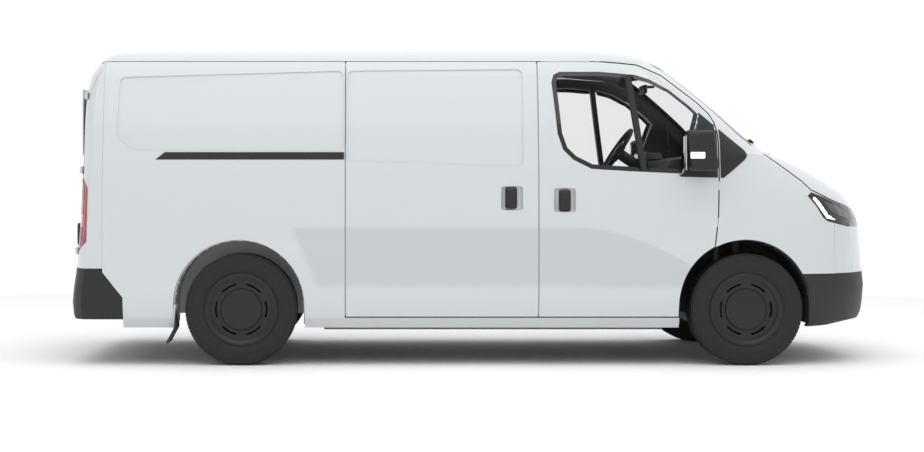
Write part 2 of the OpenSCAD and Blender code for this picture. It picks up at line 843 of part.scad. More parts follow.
module knuckle(side) {
    out = wheel_y + 40;
    mirror([0, side < 0 ? 1 : 0, 0]) color(STEEL) difference() {
        union() {
            block(axle_f - 30, king_y - 15, wheel_z - upright_h, axle_f + 30, king_y + 15, wheel_z + upright_h);
            translate([axle_f, out, wheel_z]) rotate([90, 0, 0]) cylinder(r = stub_r - fit, h = out - king_y, $fn = 64);
            translate([axle_f, king_y + 25, wheel_z]) rotate([90, 0, 0]) cylinder(r = 55, h = 40, $fn = 64);
            // Brake caliper on its bracket
            difference() {
                block(axle_f - 165, king_y - 15, wheel_z - 45, axle_f - 29, wheel_y + 28, wheel_z + 45);
                block(axle_f - 145, king_y + 10, wheel_z - 60, axle_f - 20, wheel_y - 17, wheel_z + 60);
                block(axle_f - 149, wheel_y - 18, wheel_z - 60, axle_f - 20, wheel_y + 16, wheel_z + 60);
                block(axle_f - 90, wheel_y - 18, wheel_z - 60, axle_f - 20, wheel_y + 60, wheel_z + 60);
            }
            // Steering arm
            block(axle_f - 120, king_y - 60, wheel_z - 90, axle_f - 29, king_y - 12, wheel_z - 66);
            block(axle_f - 60, king_y - 15, wheel_z - 90, axle_f - 29, king_y + 15, wheel_z - 66);
        }
        for (z = [wheel_z - upright_h - 1, wheel_z + upright_h - pin_len - 1])
            translate([axle_f, king_y, z]) cylinder(r = king_pin_r + fit, h = pin_len + 2, $fn = 32);
    }
}
module knuckle_right() { knuckle(-1); }
module knuckle_left() { knuckle(1); }

module rear_suspension() {
    beam_z = wheel_z - 45;
    beam_r = 36;
    color(STEEL) {
        translate([axle_r, 690, beam_z]) rotate([90, 0, 0]) cylinder(r = beam_r, h = 1380, $fn = 48);
        for (side = [-1, 1]) mirror([0, side < 0 ? 1 : 0, 0]) {
            block(axle_r - 50, 680, beam_z - 40, axle_r + 50, 706, wheel_z + 50);
            translate([axle_r, wheel_y + 40, wheel_z]) rotate([90, 0, 0])
                cylinder(r = stub_r - fit, h = wheel_y + 40 - 690, $fn = 64);
            translate([axle_r, wheel_y - 50, wheel_z]) rotate([90, 0, 0]) cylinder(r = 95, h = 26, $fn = 48);
            // Coil spring under the rail, damper and trailing arm
            translate([axle_r, (rail_in + rail_out) / 2, beam_z + 20]) cylinder(r = 42, h = rail_low - beam_z - 20, $fn = 40);
            translate([axle_r - 20, 560, beam_z + 10]) cylinder(r = 24, h = floor_low - beam_z - 10, $fn = 32);
            block(axle_r, 560, beam_z, axle_r + 440, 610, beam_z + 45);
            block(axle_r + 380, rail_out, beam_z, axle_r + 440, 610, rail_low + 60);
        }
    }
}

// ---- Wheels: axis outward along z, middle plane of the tyre at z = 0 --------------------------
rim_r = rim_d / 2;
bead_r = rim_r - 19.5;
rim_w = tyre_w / 2 - 11;
stud_hole_r = 7;
module wheel_place(x, side) {
    mirror([0, side < 0 ? 0 : 1, 0]) translate([x, -wheel_y, wheel_z]) rotate([90, 0, 0]) children();
}
module rim(x, side) {
    well = bead_r - 13;
    slot_r = 0.7 * rim_r;
    slot_w = 12;
    slot_arc = 36;
    color("#2a2c2f") wheel_place(x, side) difference() {
        union() {
            rotate_extrude($fn = 96) polygon([[well, -rim_w], [rim_r, -rim_w], [rim_r, 10 - rim_w],
                [bead_r, 16 - rim_w], [bead_r, rim_w - 16], [rim_r, rim_w - 10], [rim_r, rim_w],
                [rim_r - 12, rim_w + 3], [well, rim_w - 8]]);
            // Wheel disc with a raised middle
            rotate_extrude($fn = 96) polygon([[0, 44], [well + 1, 58], [well + 1, 76], [95, 66], [80, 72], [0, 72]]);
            // Hub and brake disc
            translate([0, 0, -12]) cylinder(r = 72, h = 62, $fn = 64);
            translate([0, 0, -12]) cylinder(r = 140, h = 22, $fn = 72);
        }
        translate([0, 0, -13]) cylinder(r = stub_r, h = 54.5, $fn = 64);
        for (i = [0 : 5]) rotate([0, 0, 60 * i - slot_arc / 2])
            rotate_extrude(angle = slot_arc, $fn = 96) translate([slot_r - slot_w / 2, 40]) square([slot_w, 50]);
        for (i = [0 : 4]) rotate([0, 0, 72 * i + 90])
            translate([bolt_pcd / 2, 0, 46]) cylinder(r = stud_hole_r, h = 40, $fn = 32);
    }
}
module tyre(x, side) {
    r = tyre_d / 2;
    w = tyre_w / 2;
    color(TYRE) wheel_place(x, side) rotate_extrude($fn = 128)
        polygon([[bead_r, 16.3 - rim_w], [rim_r + 1, 10.4 - rim_w], [rim_r + 4, 1 - rim_w], [(rim_r + r) / 2, -w],
            [r - 22, 6 - w], [r - 6, 22 - w], [r, 46 - w], [r, w - 46], [r - 6, w - 22], [r - 22, w - 6],
            [(rim_r + r) / 2, w], [rim_r + 4, rim_w - 1], [rim_r + 1, rim_w - 10.4], [bead_r, rim_w - 16.3]]);
}
module rim_front_right() { rim(axle_f, -1); }
module tyre_front_right() { tyre(axle_f, -1); }
module rim_front_left() { rim(axle_f, 1); }
module tyre_front_left() { tyre(axle_f, 1); }
module rim_rear_right() { rim(axle_r, -1); }
module tyre_rear_right() { tyre(axle_r, -1); }
module rim_rear_left() { rim(axle_r, 1); }
module tyre_rear_left() { tyre(axle_r, 1); }

side_panel_right();
side_panel_left();
sliding_door();
slide_rail();
rear_portal();
roof_panel();
cab_frame();
windscreen();
fenders();
front_panel();
front_bumper();
rear_bumper();
headlights();
tail_lights();
wheel_arch_liners();
wipers();
floor();
underframe();
battery_pack();
drive_unit();
bulkhead();
dashboard();
seats();
front_suspension();
rear_suspension();
bonnet();
front_door_right();
front_door_glass_right();
mirror_right();
front_door_left();
front_door_glass_left();
mirror_left();
rear_door_right();
rear_door_left();
knuckle_right();
knuckle_left();
steering_wheel();
rim_front_right();
tyre_front_right();
rim_front_left();
tyre_front_left();
rim_rear_right();
tyre_rear_right();
rim_rear_left();
tyre_rear_left();
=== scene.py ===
# %% [markdown]
# # A white panel van
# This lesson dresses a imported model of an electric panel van. The frame gives every pressed panel, wheel
# and hinge at its real place, in metres: +X is forward, +Y is the driver's side, +Z is up. Each cell adds
# one finish or one group of pieces, and prints what it made.

# %% Load the frame
import json
import math

import bpy
import numpy as np
from mathutils import Matrix, Vector


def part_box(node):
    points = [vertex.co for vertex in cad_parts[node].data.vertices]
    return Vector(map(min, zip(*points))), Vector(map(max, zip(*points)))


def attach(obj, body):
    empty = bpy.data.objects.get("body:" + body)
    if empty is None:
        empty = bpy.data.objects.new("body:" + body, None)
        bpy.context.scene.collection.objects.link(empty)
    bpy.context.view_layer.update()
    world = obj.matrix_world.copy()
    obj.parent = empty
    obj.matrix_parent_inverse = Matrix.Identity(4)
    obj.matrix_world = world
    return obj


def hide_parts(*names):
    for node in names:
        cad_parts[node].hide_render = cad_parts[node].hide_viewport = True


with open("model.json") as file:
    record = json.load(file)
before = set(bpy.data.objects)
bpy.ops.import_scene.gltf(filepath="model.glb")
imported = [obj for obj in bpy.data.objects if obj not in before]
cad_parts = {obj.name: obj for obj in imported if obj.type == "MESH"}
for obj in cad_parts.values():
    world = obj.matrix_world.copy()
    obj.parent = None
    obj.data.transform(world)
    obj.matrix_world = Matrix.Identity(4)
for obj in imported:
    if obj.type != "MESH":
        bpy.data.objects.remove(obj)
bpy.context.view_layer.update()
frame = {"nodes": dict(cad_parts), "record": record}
MM = 0.001

# %% [markdown]
# The camera stands level with the van's belt, square to its right side, a little over ten metres away.
# A long lens keeps both wheels round, and a small lens shift puts the van in the middle of the frame.

# %% Camera
camera_data = bpy.data.cameras.new("studio_camera")
camera = bpy.data.objects.new("studio_camera", camera_data)
bpy.context.scene.collection.objects.link(camera)
bpy.context.scene.camera = camera
CAMERA_PLACE = (-0.641, -11.43, 1.070)
camera_data.sensor_width = 36.0
camera_data.lens = 66.6429
camera_data.shift_x, camera_data.shift_y = 0.09632, -0.03788
camera_data.clip_end = 200
camera.location = CAMERA_PLACE
camera.rotation_euler = (math.radians(90), 0, 0)
print("lens", round(camera_data.lens, 1), "mm")


# %% [markdown]
# Small helpers keep the cells short: a hex colour turned to linear light, one function that adds a
# shader node with its settings and links, and a few that wrap Blender's own modelling operators.

# %% Helpers
def linear(code):
    parts = [int(code[i:i + 2], 16) / 255 for i in (1, 3, 5)]
    return [p / 12.92 if p <= 0.04045 else ((p + 0.055) / 1.055) ** 2.4 for p in parts] + [1.0]


def add_node(tree, kind, settings=None, inputs=None):
    made = tree.nodes.new(kind)
    for key, value in (settings or {}).items():
        setattr(made, key, value)
    for key, value in (inputs or {}).items():
        if isinstance(value, bpy.types.NodeSocket):
            tree.links.new(value, made.inputs[key])
        else:
            made.inputs[key].default_value = value
    return made


def bumped(tree, surface, height, strength, distance):
    """Bends a surface's normals by the height that a pattern gives."""
    bump = add_node(tree, "ShaderNodeBump", inputs={
        "Height": height, "Strength": strength, "Distance": distance})
    tree.links.new(bump.outputs["Normal"], surface.inputs["Normal"])


def darker(colour, share):
    return [share * c for c in linear(colour)[:3]] + [1.0]


def two_toned(tree, surface, factor, first, second):
    """Lets a pattern choose between two linear colours."""
    tint = add_node(tree, "ShaderNodeMix", {"data_type": "RGBA"}, {"Factor": factor, "A": first, "B": second})
    tree.links.new(tint.outputs["Result"], surface.inputs["Base Color"])


def new_material(name, **sockets):
    """A Principled surface whose constant values sit on its own sockets."""
    material = bpy.data.materials.new(name)
    material.use_nodes = True
    tree = material.node_tree
    surface = tree.nodes["Principled BSDF"]
    for key, value in sockets.items():
        surface.inputs[key.replace("_", " ")].default_value = value
    return material, tree, surface


def only(piece):
    """Selects one object, and nothing else, and makes it active."""
    if bpy.context.object and bpy.context.object.mode != "OBJECT":
        leave_edit()
    bpy.ops.object.select_all(action="DESELECT")
    piece.select_set(True)
    bpy.context.view_layer.objects.active = piece


def apply_modifier(piece, kind, **settings):
    only(piece)
    modifier = piece.modifiers.new(kind.lower(), kind)
    for key, value in settings.items():
        setattr(modifier, key, value)
    bpy.ops.object.modifier_apply(modifier=modifier.name)


def edit_all(piece):
    """Enters edit mode with the whole of one piece selected."""
    only(piece)
    bpy.ops.object.mode_set(mode="EDIT")
    bpy.ops.mesh.select_all(action="SELECT")


def leave_edit():
    bpy.ops.object.mode_set(mode="OBJECT")


def first_hit(piece, start, toward, miss):
    """Where a ray first meets a piece, or the place given for a miss."""
    hit, place = piece.ray_cast(Vector(start), Vector(toward))[:2]
    return place if hit else Vector(miss)


def settle(piece, name):
    """Puts the object at the origin with its place in its mesh, and names it."""
    only(piece)
    bpy.ops.object.transform_apply(location=True, rotation=True, scale=True)
    piece.name = name
    piece.data.name = name
    return piece


def select_faces(piece, test):
    """Enters edit mode with only the faces selected for which test(centre, normal) is true."""
    only(piece)
    mesh = piece.data
    for part in (mesh.vertices, mesh.edges):
        part.foreach_set("select", [False] * len(part))
    mesh.polygons.foreach_set("select", [bool(test(p.center, p.normal)) for p in mesh.polygons])
    bpy.ops.object.mode_set(mode="EDIT")
    bpy.ops.mesh.select_mode(type="FACE")


def finish_piece(piece, material, body, angle=30, replaces=()):
    """Gives a piece its finish, its shading, and the body it rides on."""
    only(piece)
    if piece.data.materials:
        piece.data.materials.clear()
    piece.data.materials.append(material)
    if angle:
        bpy.ops.object.shade_smooth_by_angle(angle=math.radians(angle))
    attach(piece, body)
    if replaces:
        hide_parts(*replaces)
    return piece


def twin(source, name):
    """A copy of an object, with a mesh of its own."""
    copy = bpy.data.objects.new(name, source.data.copy())
    bpy.context.scene.collection.objects.link(copy)
    return copy


def body_of(node):
    for name, nodes in frame["record"]["behaviour"]["bodies"].items():
        if node in nodes:
            return name


def copy_node(node, name, merge=0.00005):
    """A merged copy of a CAD node's mesh, as a piece of its own."""
    piece = twin(frame["nodes"][node], name)
    piece.matrix_world = Matrix.Identity(4)
    edit_all(piece)
    bpy.ops.mesh.remove_doubles(threshold=merge)
    leave_edit()
    if piece.data.has_custom_normals:
        bpy.ops.mesh.customdata_custom_splitnormals_clear()
    return piece


print("helpers ready")

# %% [markdown]
# ## Finishes
# Solid white car paint is a pigmented base under a clear lacquer. It has no metal flake: what the eye
# sees is a soft white with a sharp thin reflection. Faint orange peel, a few millimetres wide, breaks
# the reflection, so a fine noise bump is added. It is drawn at 4 mm, as coarse as real peel.


# %% Car paint
CREASE_Z, SWAGE_Z, SILL_Z = 0.858, 0.455, 0.300
CREASE_BEND_X, FLARE_X = 0.55, -0.790


def car_paint(name, colour):
    material, tree, surface = new_material(
        name, Roughness=0.32, Coat_Weight=0.7, Coat_Roughness=0.04, IOR=1.5)
    surface.inputs["Base Color"].default_value = linear(colour)
    place = add_node(tree, "ShaderNodeTexCoord")
    peel = add_node(tree, "ShaderNodeTexNoise", inputs={
        "Vector": place.outputs["Object"], "Scale": 1 / (4 * MM) / 4, "Detail": 2.0})
    bumped(tree, surface, peel.outputs["Fac"], 0.02, 0.2 * MM)
    cloud = add_node(tree, "ShaderNodeTexNoise", inputs={
        "Vector": place.outputs["Object"], "Scale": 1.3, "Detail": 3.0})
    gloss = add_node(tree, "ShaderNodeMapRange", inputs={
        "Value": cloud.outputs["Fac"], "To Min": 0.29, "To Max": 0.36})
    tree.links.new(gloss.outputs["Result"], surface.inputs["Roughness"])

    # On the real van the panel between the belt crease and the sill swage looks a little greyer, and so
    # does the sill: their pressing turns them slightly downward, so they lie in shade. The frame's side is
    # smooth
    # there, so this shade is painted: the paint itself is made greyer over those fields. It stays greyer
    # under any light, which a pressed shape wouldn't.
    def number(operation, first, second=0.0, clamp=False):
        settings = {"operation": operation, "use_clamp": clamp}
        return add_node(tree, "ShaderNodeMath", settings, {0: first, 1: second}).outputs["Value"]

    parts = add_node(tree, "ShaderNodeSeparateXYZ", inputs={"Vector": place.outputs["Object"]})
    x, z = parts.outputs["X"], parts.outputs["Z"]
    ahead = number("MAXIMUM", number("SUBTRACT", x, CREASE_BEND_X), 0.0)
    drop = number("MULTIPLY", number("MULTIPLY", ahead, ahead), 0.42)
    below = number("MULTIPLY", number("SUBTRACT", number("SUBTRACT", CREASE_Z, drop), z), 55.0, True)
    above = number("MULTIPLY", number("SUBTRACT", z, SWAGE_Z), 18.0, True)
    flare = number("ADD", x, number("MULTIPLY", z, 0.432))
    right = number("MULTIPLY", number("SUBTRACT", flare, FLARE_X), 25.0, True)
    field = number("MULTIPLY", number("MULTIPLY", below, above), right)
    sill = number("MULTIPLY", number("SUBTRACT", SILL_Z, z), 60.0, True)
    field = number("MAXIMUM", field, sill)
    # Painted shade: over those fields the paint is 13 % darker.
    two_toned(tree, surface, field, linear(colour), darker(colour, 0.87))
    return material


white_paint = car_paint("solid_white_lacquered_paint", "#cdd2d5")
print("paint", white_paint.name)

# %% [markdown]
# Bumpers, sills and trim are polypropylene, moulded in a spark-eroded tool that leaves a leather-like
# grain of about a millimetre. The grain scatters light, so the plastic looks dark grey and dull. The
# grain is drawn at 3 mm so that it shows.


# %% Grained plastic
def grained_plastic(name, colour, grain=3 * MM, rough=0.55):
    material, tree, surface = new_material(name, Roughness=rough, IOR=1.49)
    place = add_node(tree, "ShaderNodeTexCoord")
    cells = add_node(tree, "ShaderNodeTexVoronoi", {"feature": "SMOOTH_F1"}, {
        "Vector": place.outputs["Object"], "Scale": 1 / grain})
    bumped(tree, surface, cells.outputs["Distance"], 0.25, 0.3 * MM)
    wear = add_node(tree, "ShaderNodeTexNoise", inputs={
        "Vector": place.outputs["Object"], "Scale": 6.0, "Detail": 4.0})
    two_toned(tree, surface, wear.outputs["Fac"], darker(colour, 0.86), linear(colour))
    return material


black_plastic = grained_plastic("grained_black_polypropylene", "#1b1d20")
bumper_plastic = grained_plastic("grained_grey_polypropylene", "#222528")
cab_plastic = grained_plastic("soft_touch_cab_plastic", "#2a2d30", grain=2 * MM, rough=0.62)
liner_felt = grained_plastic("moulded_arch_liner", "#34373a", grain=6 * MM, rough=0.8)
pale_liner = grained_plastic("pale_pressed_felt_liner", "#d5d9db", grain=6 * MM, rough=0.8)
print("plastics", 5)


# %% [markdown]
# Piano black is a smooth gloss plastic. Tyres are carbon-black rubber, matt with a fine mould texture.
# Steel wheels here are satin black powder coat. Chassis parts are dip coated, castings are rougher.

# %% Gloss plastic, rubber and metal
def plain_finish(name, colour, rough, metal=0.0, bump_size=2 * MM, bump_strength=0.15, coat=0.0):
    material, tree, surface = new_material(name, Roughness=rough, Metallic=metal, Coat_Weight=coat)
    place = add_node(tree, "ShaderNodeTexCoord")
    speck = add_node(tree, "ShaderNodeTexNoise", inputs={
        "Vector": place.outputs["Object"], "Scale": 1 / bump_size / 4, "Detail": 4.0})
    bumped(tree, surface, speck.outputs["Fac"], bump_strength, 0.3 * MM)
    patch = add_node(tree, "ShaderNodeTexNoise", inputs={
        "Vector": place.outputs["Object"], "Scale": 9.0, "Detail": 5.0})
    two_toned(tree, surface, patch.outputs["Fac"], darker(colour, 0.8), linear(colour))
    return material


piano_black = plain_finish("gloss_black_acrylic", "#0c0d0f", 0.12, bump_strength=0.0, coat=0.5)
tyre_rubber = plain_finish("carbon_black_tyre_rubber", "#1a1b1d", 0.72, bump_size=1.5 * MM, bump_strength=0.3)
wheel_coat = plain_finish("satin_black_powder_coat", "#121315", 0.45, bump_size=1 * MM)
chassis_coat = plain_finish("black_dip_coat", "#2a2c2e", 0.5)
cast_steel = plain_finish("sand_cast_iron", "#55585b", 0.6, metal=0.7, bump_size=4 * MM, bump_strength=0.5)
battery_alloy = plain_finish("die_cast_aluminium_case", "#7d8287", 0.45, metal=0.8, bump_size=5 * MM)
primer_grey = plain_finish("grey_floor_primer", "#8d9296", 0.6, bump_size=5 * MM)
pin_steel = plain_finish("bright_turned_steel", "#a9adb1", 0.3, metal=1.0, bump_size=1 * MM)
print("plain finishes", 8)

# %% [markdown]
# Side glass and windscreen are clear soda-lime glass. It is drawn as a smooth dark surface with a very
# low alpha, which lets the cab show through and keeps a thin, sharp reflection.


# %% Glass and lamp lenses
def see_through(name, colour, weight, rough=0.05, **sockets):
    """A smooth coloured surface that covers only part of what is behind it."""
    material, tree, surface = new_material(name, Roughness=rough, **sockets)
    surface.inputs["Base Color"].default_value = linear(colour)
    surface.inputs["Alpha"].default_value = weight
    return material


def lamp_light(name, colour, power):
    material, tree, surface = new_material(name, Roughness=0.4)
    surface.inputs["Base Color"].default_value = linear(colour)
    surface.inputs["Emission Color"].default_value = linear(colour)
    surface.inputs["Emission Strength"].default_value = power
    return material


window_glass = see_through("clear_safety_glass", "#2a3133", 0.07, rough=0.02, IOR=1.5)
red_lens = see_through("red_acrylic_lens", "#b3222e", 0.86, IOR=1.58, Coat_Weight=0.4)
smoke_lens = see_through("smoked_acrylic_lens", "#1c1416", 0.9, IOR=1.58, Coat_Weight=0.4)
day_light = lamp_light("daytime_light_guide", "#f4f8ff", 1.2)
plate_white = plain_finish("reflective_plate_sheet", "#e6e8e4", 0.35, bump_size=1 * MM)
mirror_silver = plain_finish("silvered_mirror_glass", "#dfe4e8", 0.03, metal=1.0, bump_strength=0.0)
print("glass, lenses, light guide, plate and mirror", 6)

# %% [markdown]
# Lamp parts need a few more finishes: a grey reflector, a deep red lens, and a frosted reversing lens.
# Their ribs are 10 to 14 mm apart, wider than real ones, so that they show.


# %% Ribbed lenses
def ribbed_lens(name, colour, pitch, rough=0.12, axis="Z"):
    material, tree, surface = new_material(
        name, Roughness=rough, IOR=1.49, Coat_Weight=0.6, Coat_Roughness=0.03)
    place = add_node(tree, "ShaderNodeTexCoord")
    ribs = add_node(tree, "ShaderNodeTexWave", {"wave_type": "BANDS", "bands_direction": axis}, {
        "Vector": place.outputs["Object"], "Scale": 2 * math.pi / (20 * pitch), "Distortion": 0.0})
    bumped(tree, surface, ribs.outputs["Fac"], 0.6, 1.5 * MM)
    two_toned(tree, surface, ribs.outputs["Fac"], darker(colour, 0.55), linear(colour))
    return material


deep_red = ribbed_lens("ribbed_red_acrylic", "#8d1d27", 14 * MM)
reverse_lens = ribbed_lens("frosted_reversing_lens", "#c9cdd0", 10 * MM, axis="X")
lamp_grey = ribbed_lens("ribbed_lamp_reflector", "#4a4d52", 12 * MM, axis="X")
print("ribbed lenses", 3)

# %% [markdown]
# ## Body panels
# The frame's panels are exact but plain: every edge is sharp, and the curved skin is made of flat
# facets. A pressed steel panel folds round its edge in a small radius that catches the light. So each
# panel is copied and merged, given a 3 mm rounded hem, and shaded smooth with normals weighted by
# face area, which keeps the big gentle faces calm.


# %% Dress the panels
def remove(*pieces):
    for piece in pieces:
        bpy.data.objects.remove(piece, do_unlink=True)


def pressed_panel(node, material, hem=3 * MM, cutters=(), angle=32):
    piece = copy_node(node, node + "_skin")
    for cutter in cutters:
        apply_modifier(piece, "BOOLEAN", operation="DIFFERENCE", solver="EXACT", object=cutter)
        remove(cutter)
    if hem:
        apply_modifier(piece, "BEVEL", width=hem, segments=2, limit_method="ANGLE",
                       angle_limit=math.radians(angle), miter_outer="MITER_ARC", harden_normals=False,
                       use_clamp_overlap=True)
    finish_piece(piece, material, body_of(node), angle=angle, replaces=(node,))
    apply_modifier(piece, "WEIGHTED_NORMAL", keep_sharp=True, weight=80)
    return piece

# %% [markdown]
# ## Handle cups
# A hand needs room behind a door handle, so a dished cup is pressed into the skin. Its cutter is a
# block whose inner face is smaller than its mouth and whose edges are rounded. The skins are cut
# before their hems are rounded, so the cup's rim is softened with them.

# %% Cup cutters
def rounded_block(name, size, centre, radius, inner_scale=1.0, inner_axis=1, segments=4):
    """A block from low to high whose face along one axis is drawn in, with rounded edges."""
    bpy.ops.object.select_all(action="DESELECT")
    bpy.ops.mesh.primitive_cube_add(size=1, location=centre)
    block = bpy.context.object
    block.scale = size
    settle(block, name)
    if inner_scale != 1.0:
        sign = 1 if inner_axis > 0 else -1
        axis = abs(inner_axis) - 1
        select_faces(block, lambda c, n: n[axis] * sign > 0.9)
        factor = [inner_scale] * 3
        factor[axis] = 1
        bpy.ops.transform.resize(value=factor, center_override=[
            centre[i] if i != axis else 0 for i in range(3)])
        leave_edit()
    apply_modifier(block, "BEVEL", width=radius, segments=segments)
    return block


HANDLES = (("sliding_door", -1, 0.209, 1.026, 0.203, 1.027),
           ("front_door_right", -1, 0.531, 1.015, 0.531, 1.012),
           ("front_door_left", 1, 0.531, 1.015, 0.531, 1.012))
cup_face, cups = {}, {}
for node, side, x, z, pad_x, pad_z in HANDLES:
    bare = copy_node(node, "bare")
    face = first_hit(bare, (x, side * 2.0, z), (0, -side, 0), (x, side, z)).y
    remove(bare)
    cup_face[node] = face
    cups[node] = [rounded_block("cup", (0.168, 0.090, 0.184), (x, face + side * 0.022, z), 12 * MM,
                                inner_scale=0.72, inner_axis=2 if side < 0 else -2)]
    print(node, "skin stands at", round(face, 3))

# %% Painted panels
painted = {}
for node in ("side_panel_right", "side_panel_left", "sliding_door", "rear_portal", "roof_panel", "cab_frame",
             "fenders", "front_panel", "bonnet", "front_door_right", "front_door_left",
             "rear_door_right", "rear_door_left"):
    painted[node] = pressed_panel(node, white_paint, cutters=cups.get(node, ()))
print("painted panels", len(painted))

# %% Plastic, glass and lamps on the frame's own shapes
for node, material in (
        ("front_bumper", bumper_plastic), ("rear_bumper", black_plastic), ("slide_rail", black_plastic),
        ("windscreen", window_glass), ("front_door_glass_right", window_glass),
        ("front_door_glass_left", window_glass), ("mirror_right", black_plastic),
        ("mirror_left", black_plastic), ("headlights", piano_black), ("tail_lights", red_lens),
        ("wipers", black_plastic), ("floor", primer_grey), ("underframe", chassis_coat),
        ("battery_pack", battery_alloy), ("drive_unit", battery_alloy), ("bulkhead", primer_grey),
        ("dashboard", cab_plastic), ("steering_wheel", cab_plastic), ("front_suspension", cast_steel),
        ("rear_suspension", chassis_coat), ("knuckle_right", cast_steel), ("knuckle_left", cast_steel),
        ("wheel_arch_liners", liner_felt), ("seats", cab_plastic)):
    hem = 0 if "glass" in node or node == "windscreen" else 2 * MM
    painted[node] = pressed_panel(node, material, hem=hem)
for corner in ("front_right", "front_left", "rear_right", "rear_left"):
    painted["rim_" + corner] = pressed_panel("rim_" + corner, wheel_coat, hem=2 * MM)
    painted["tyre_" + corner] = pressed_panel("tyre_" + corner, tyre_rubber, hem=0)
print("dressed nodes", len(painted))

# %% [markdown]
# The pressed skins are painted outside, but inside the cab the same panels wear dark moulded trim. The
# faces that look into the cab get that trim, and the cargo side keeps thin primer.

# %% Cab trim on the inner faces
def second_finish(piece, material, test):
    """Gives the faces that pass the test their own material."""
    piece.data.materials.append(material)
    index = len(piece.data.materials) - 1
    hits = 0
    for polygon in piece.data.polygons:
        if test(polygon.center, polygon.normal):
            polygon.material_index = index
            hits += 1
    print(piece.name, material.name, hits, "faces")


for side, name in ((-1, "right"), (1, "left")):
    door = painted["front_door_" + name]
    second_finish(door, cab_plastic, lambda c, n: n.y * side < -0.25)
    second_finish(painted["rear_door_" + name], primer_grey, lambda c, n: n.x > 0.3)
for node in ("cab_frame", "roof_panel"):
    second_finish(painted[node], cab_plastic,
                  lambda c, n: c.x > 0.1 and (n.z < -0.3 or n.y * c.y < -0.02 or n.x < -0.5))
for node in ("side_panel_right", "side_panel_left", "sliding_door"):
    second_finish(painted[node], primer_grey, lambda c, n: n.y * c.y < -0.25)

# %% [markdown]
# ## Side windows
# Each door has two panes, parted by an upright bar. A black ceramic print about 30 mm wide runs round
# their edges and hides the glue. It is made from the pane itself: its outer face is inset, the middle
# is thrown away, and the ring left over gets a thin wall.

# %% Printed edges
BAR_FOOT, BAR_HEAD = (1.019, 1.18), (0.922, 1.80)


def from_bar(point):
    """How far in X a point is from the middle of the bar between the panes."""
    reach = (point.z - BAR_FOOT[1]) / (BAR_HEAD[1] - BAR_FOOT[1])
    return abs(point.x - BAR_FOOT[0] - reach * (BAR_HEAD[0] - BAR_FOOT[0]))


def printed_edge(node, width, keep, name, spare=None):
    ring = copy_node(node, name)
    select_faces(ring, keep)
    bpy.ops.mesh.select_all(action="INVERT")
    bpy.ops.mesh.delete(type="FACE")
    bpy.ops.mesh.select_all(action="SELECT")
    bpy.ops.mesh.dissolve_limited(angle_limit=math.radians(0.8))
    bpy.ops.mesh.select_all(action="SELECT")
    bpy.ops.mesh.inset(thickness=width, use_even_offset=True)
    bpy.ops.mesh.delete(type="FACE")
    leave_edit()
    if spare:
        select_faces(ring, spare)
        bpy.ops.mesh.delete(type="FACE")
        leave_edit()
    apply_modifier(ring, "SOLIDIFY", thickness=1.2 * MM, offset=0.9)
    finish_piece(ring, piano_black, body_of(node), angle=25)
    print(name, len(ring.data.polygons), "faces")
    return ring


for side, name in ((-1, "right"), (1, "left")):
    printed_edge("front_door_glass_" + name, 28 * MM, lambda c, n: n.y * side > 0.3, "window_print_" + name,
                 spare=lambda c, n: from_bar(c) < 45 * MM and 1.215 < c.z < 1.76)
printed_edge("windscreen", 55 * MM, lambda c, n: n.x > 0.3, "windscreen_print")

# %% [markdown]
# The bar between the panes belongs to the door, and is black too. So is the plate in the corner under
# the screen pillar, which carries the mirror and runs on over the wing as a pointed cover. A flat grid
# is trimmed to the plate's outline, laid on the panels by projecting it sideways, and thickened.

# %% Window bar and corner plates
for side, name in ((-1, "right"), (1, "left")):
    second_finish(painted["front_door_" + name], black_plastic,
                  lambda c, n: from_bar(c) < 26 * MM and 1.18 < c.z < 1.79 and abs(c.y) > 0.6)


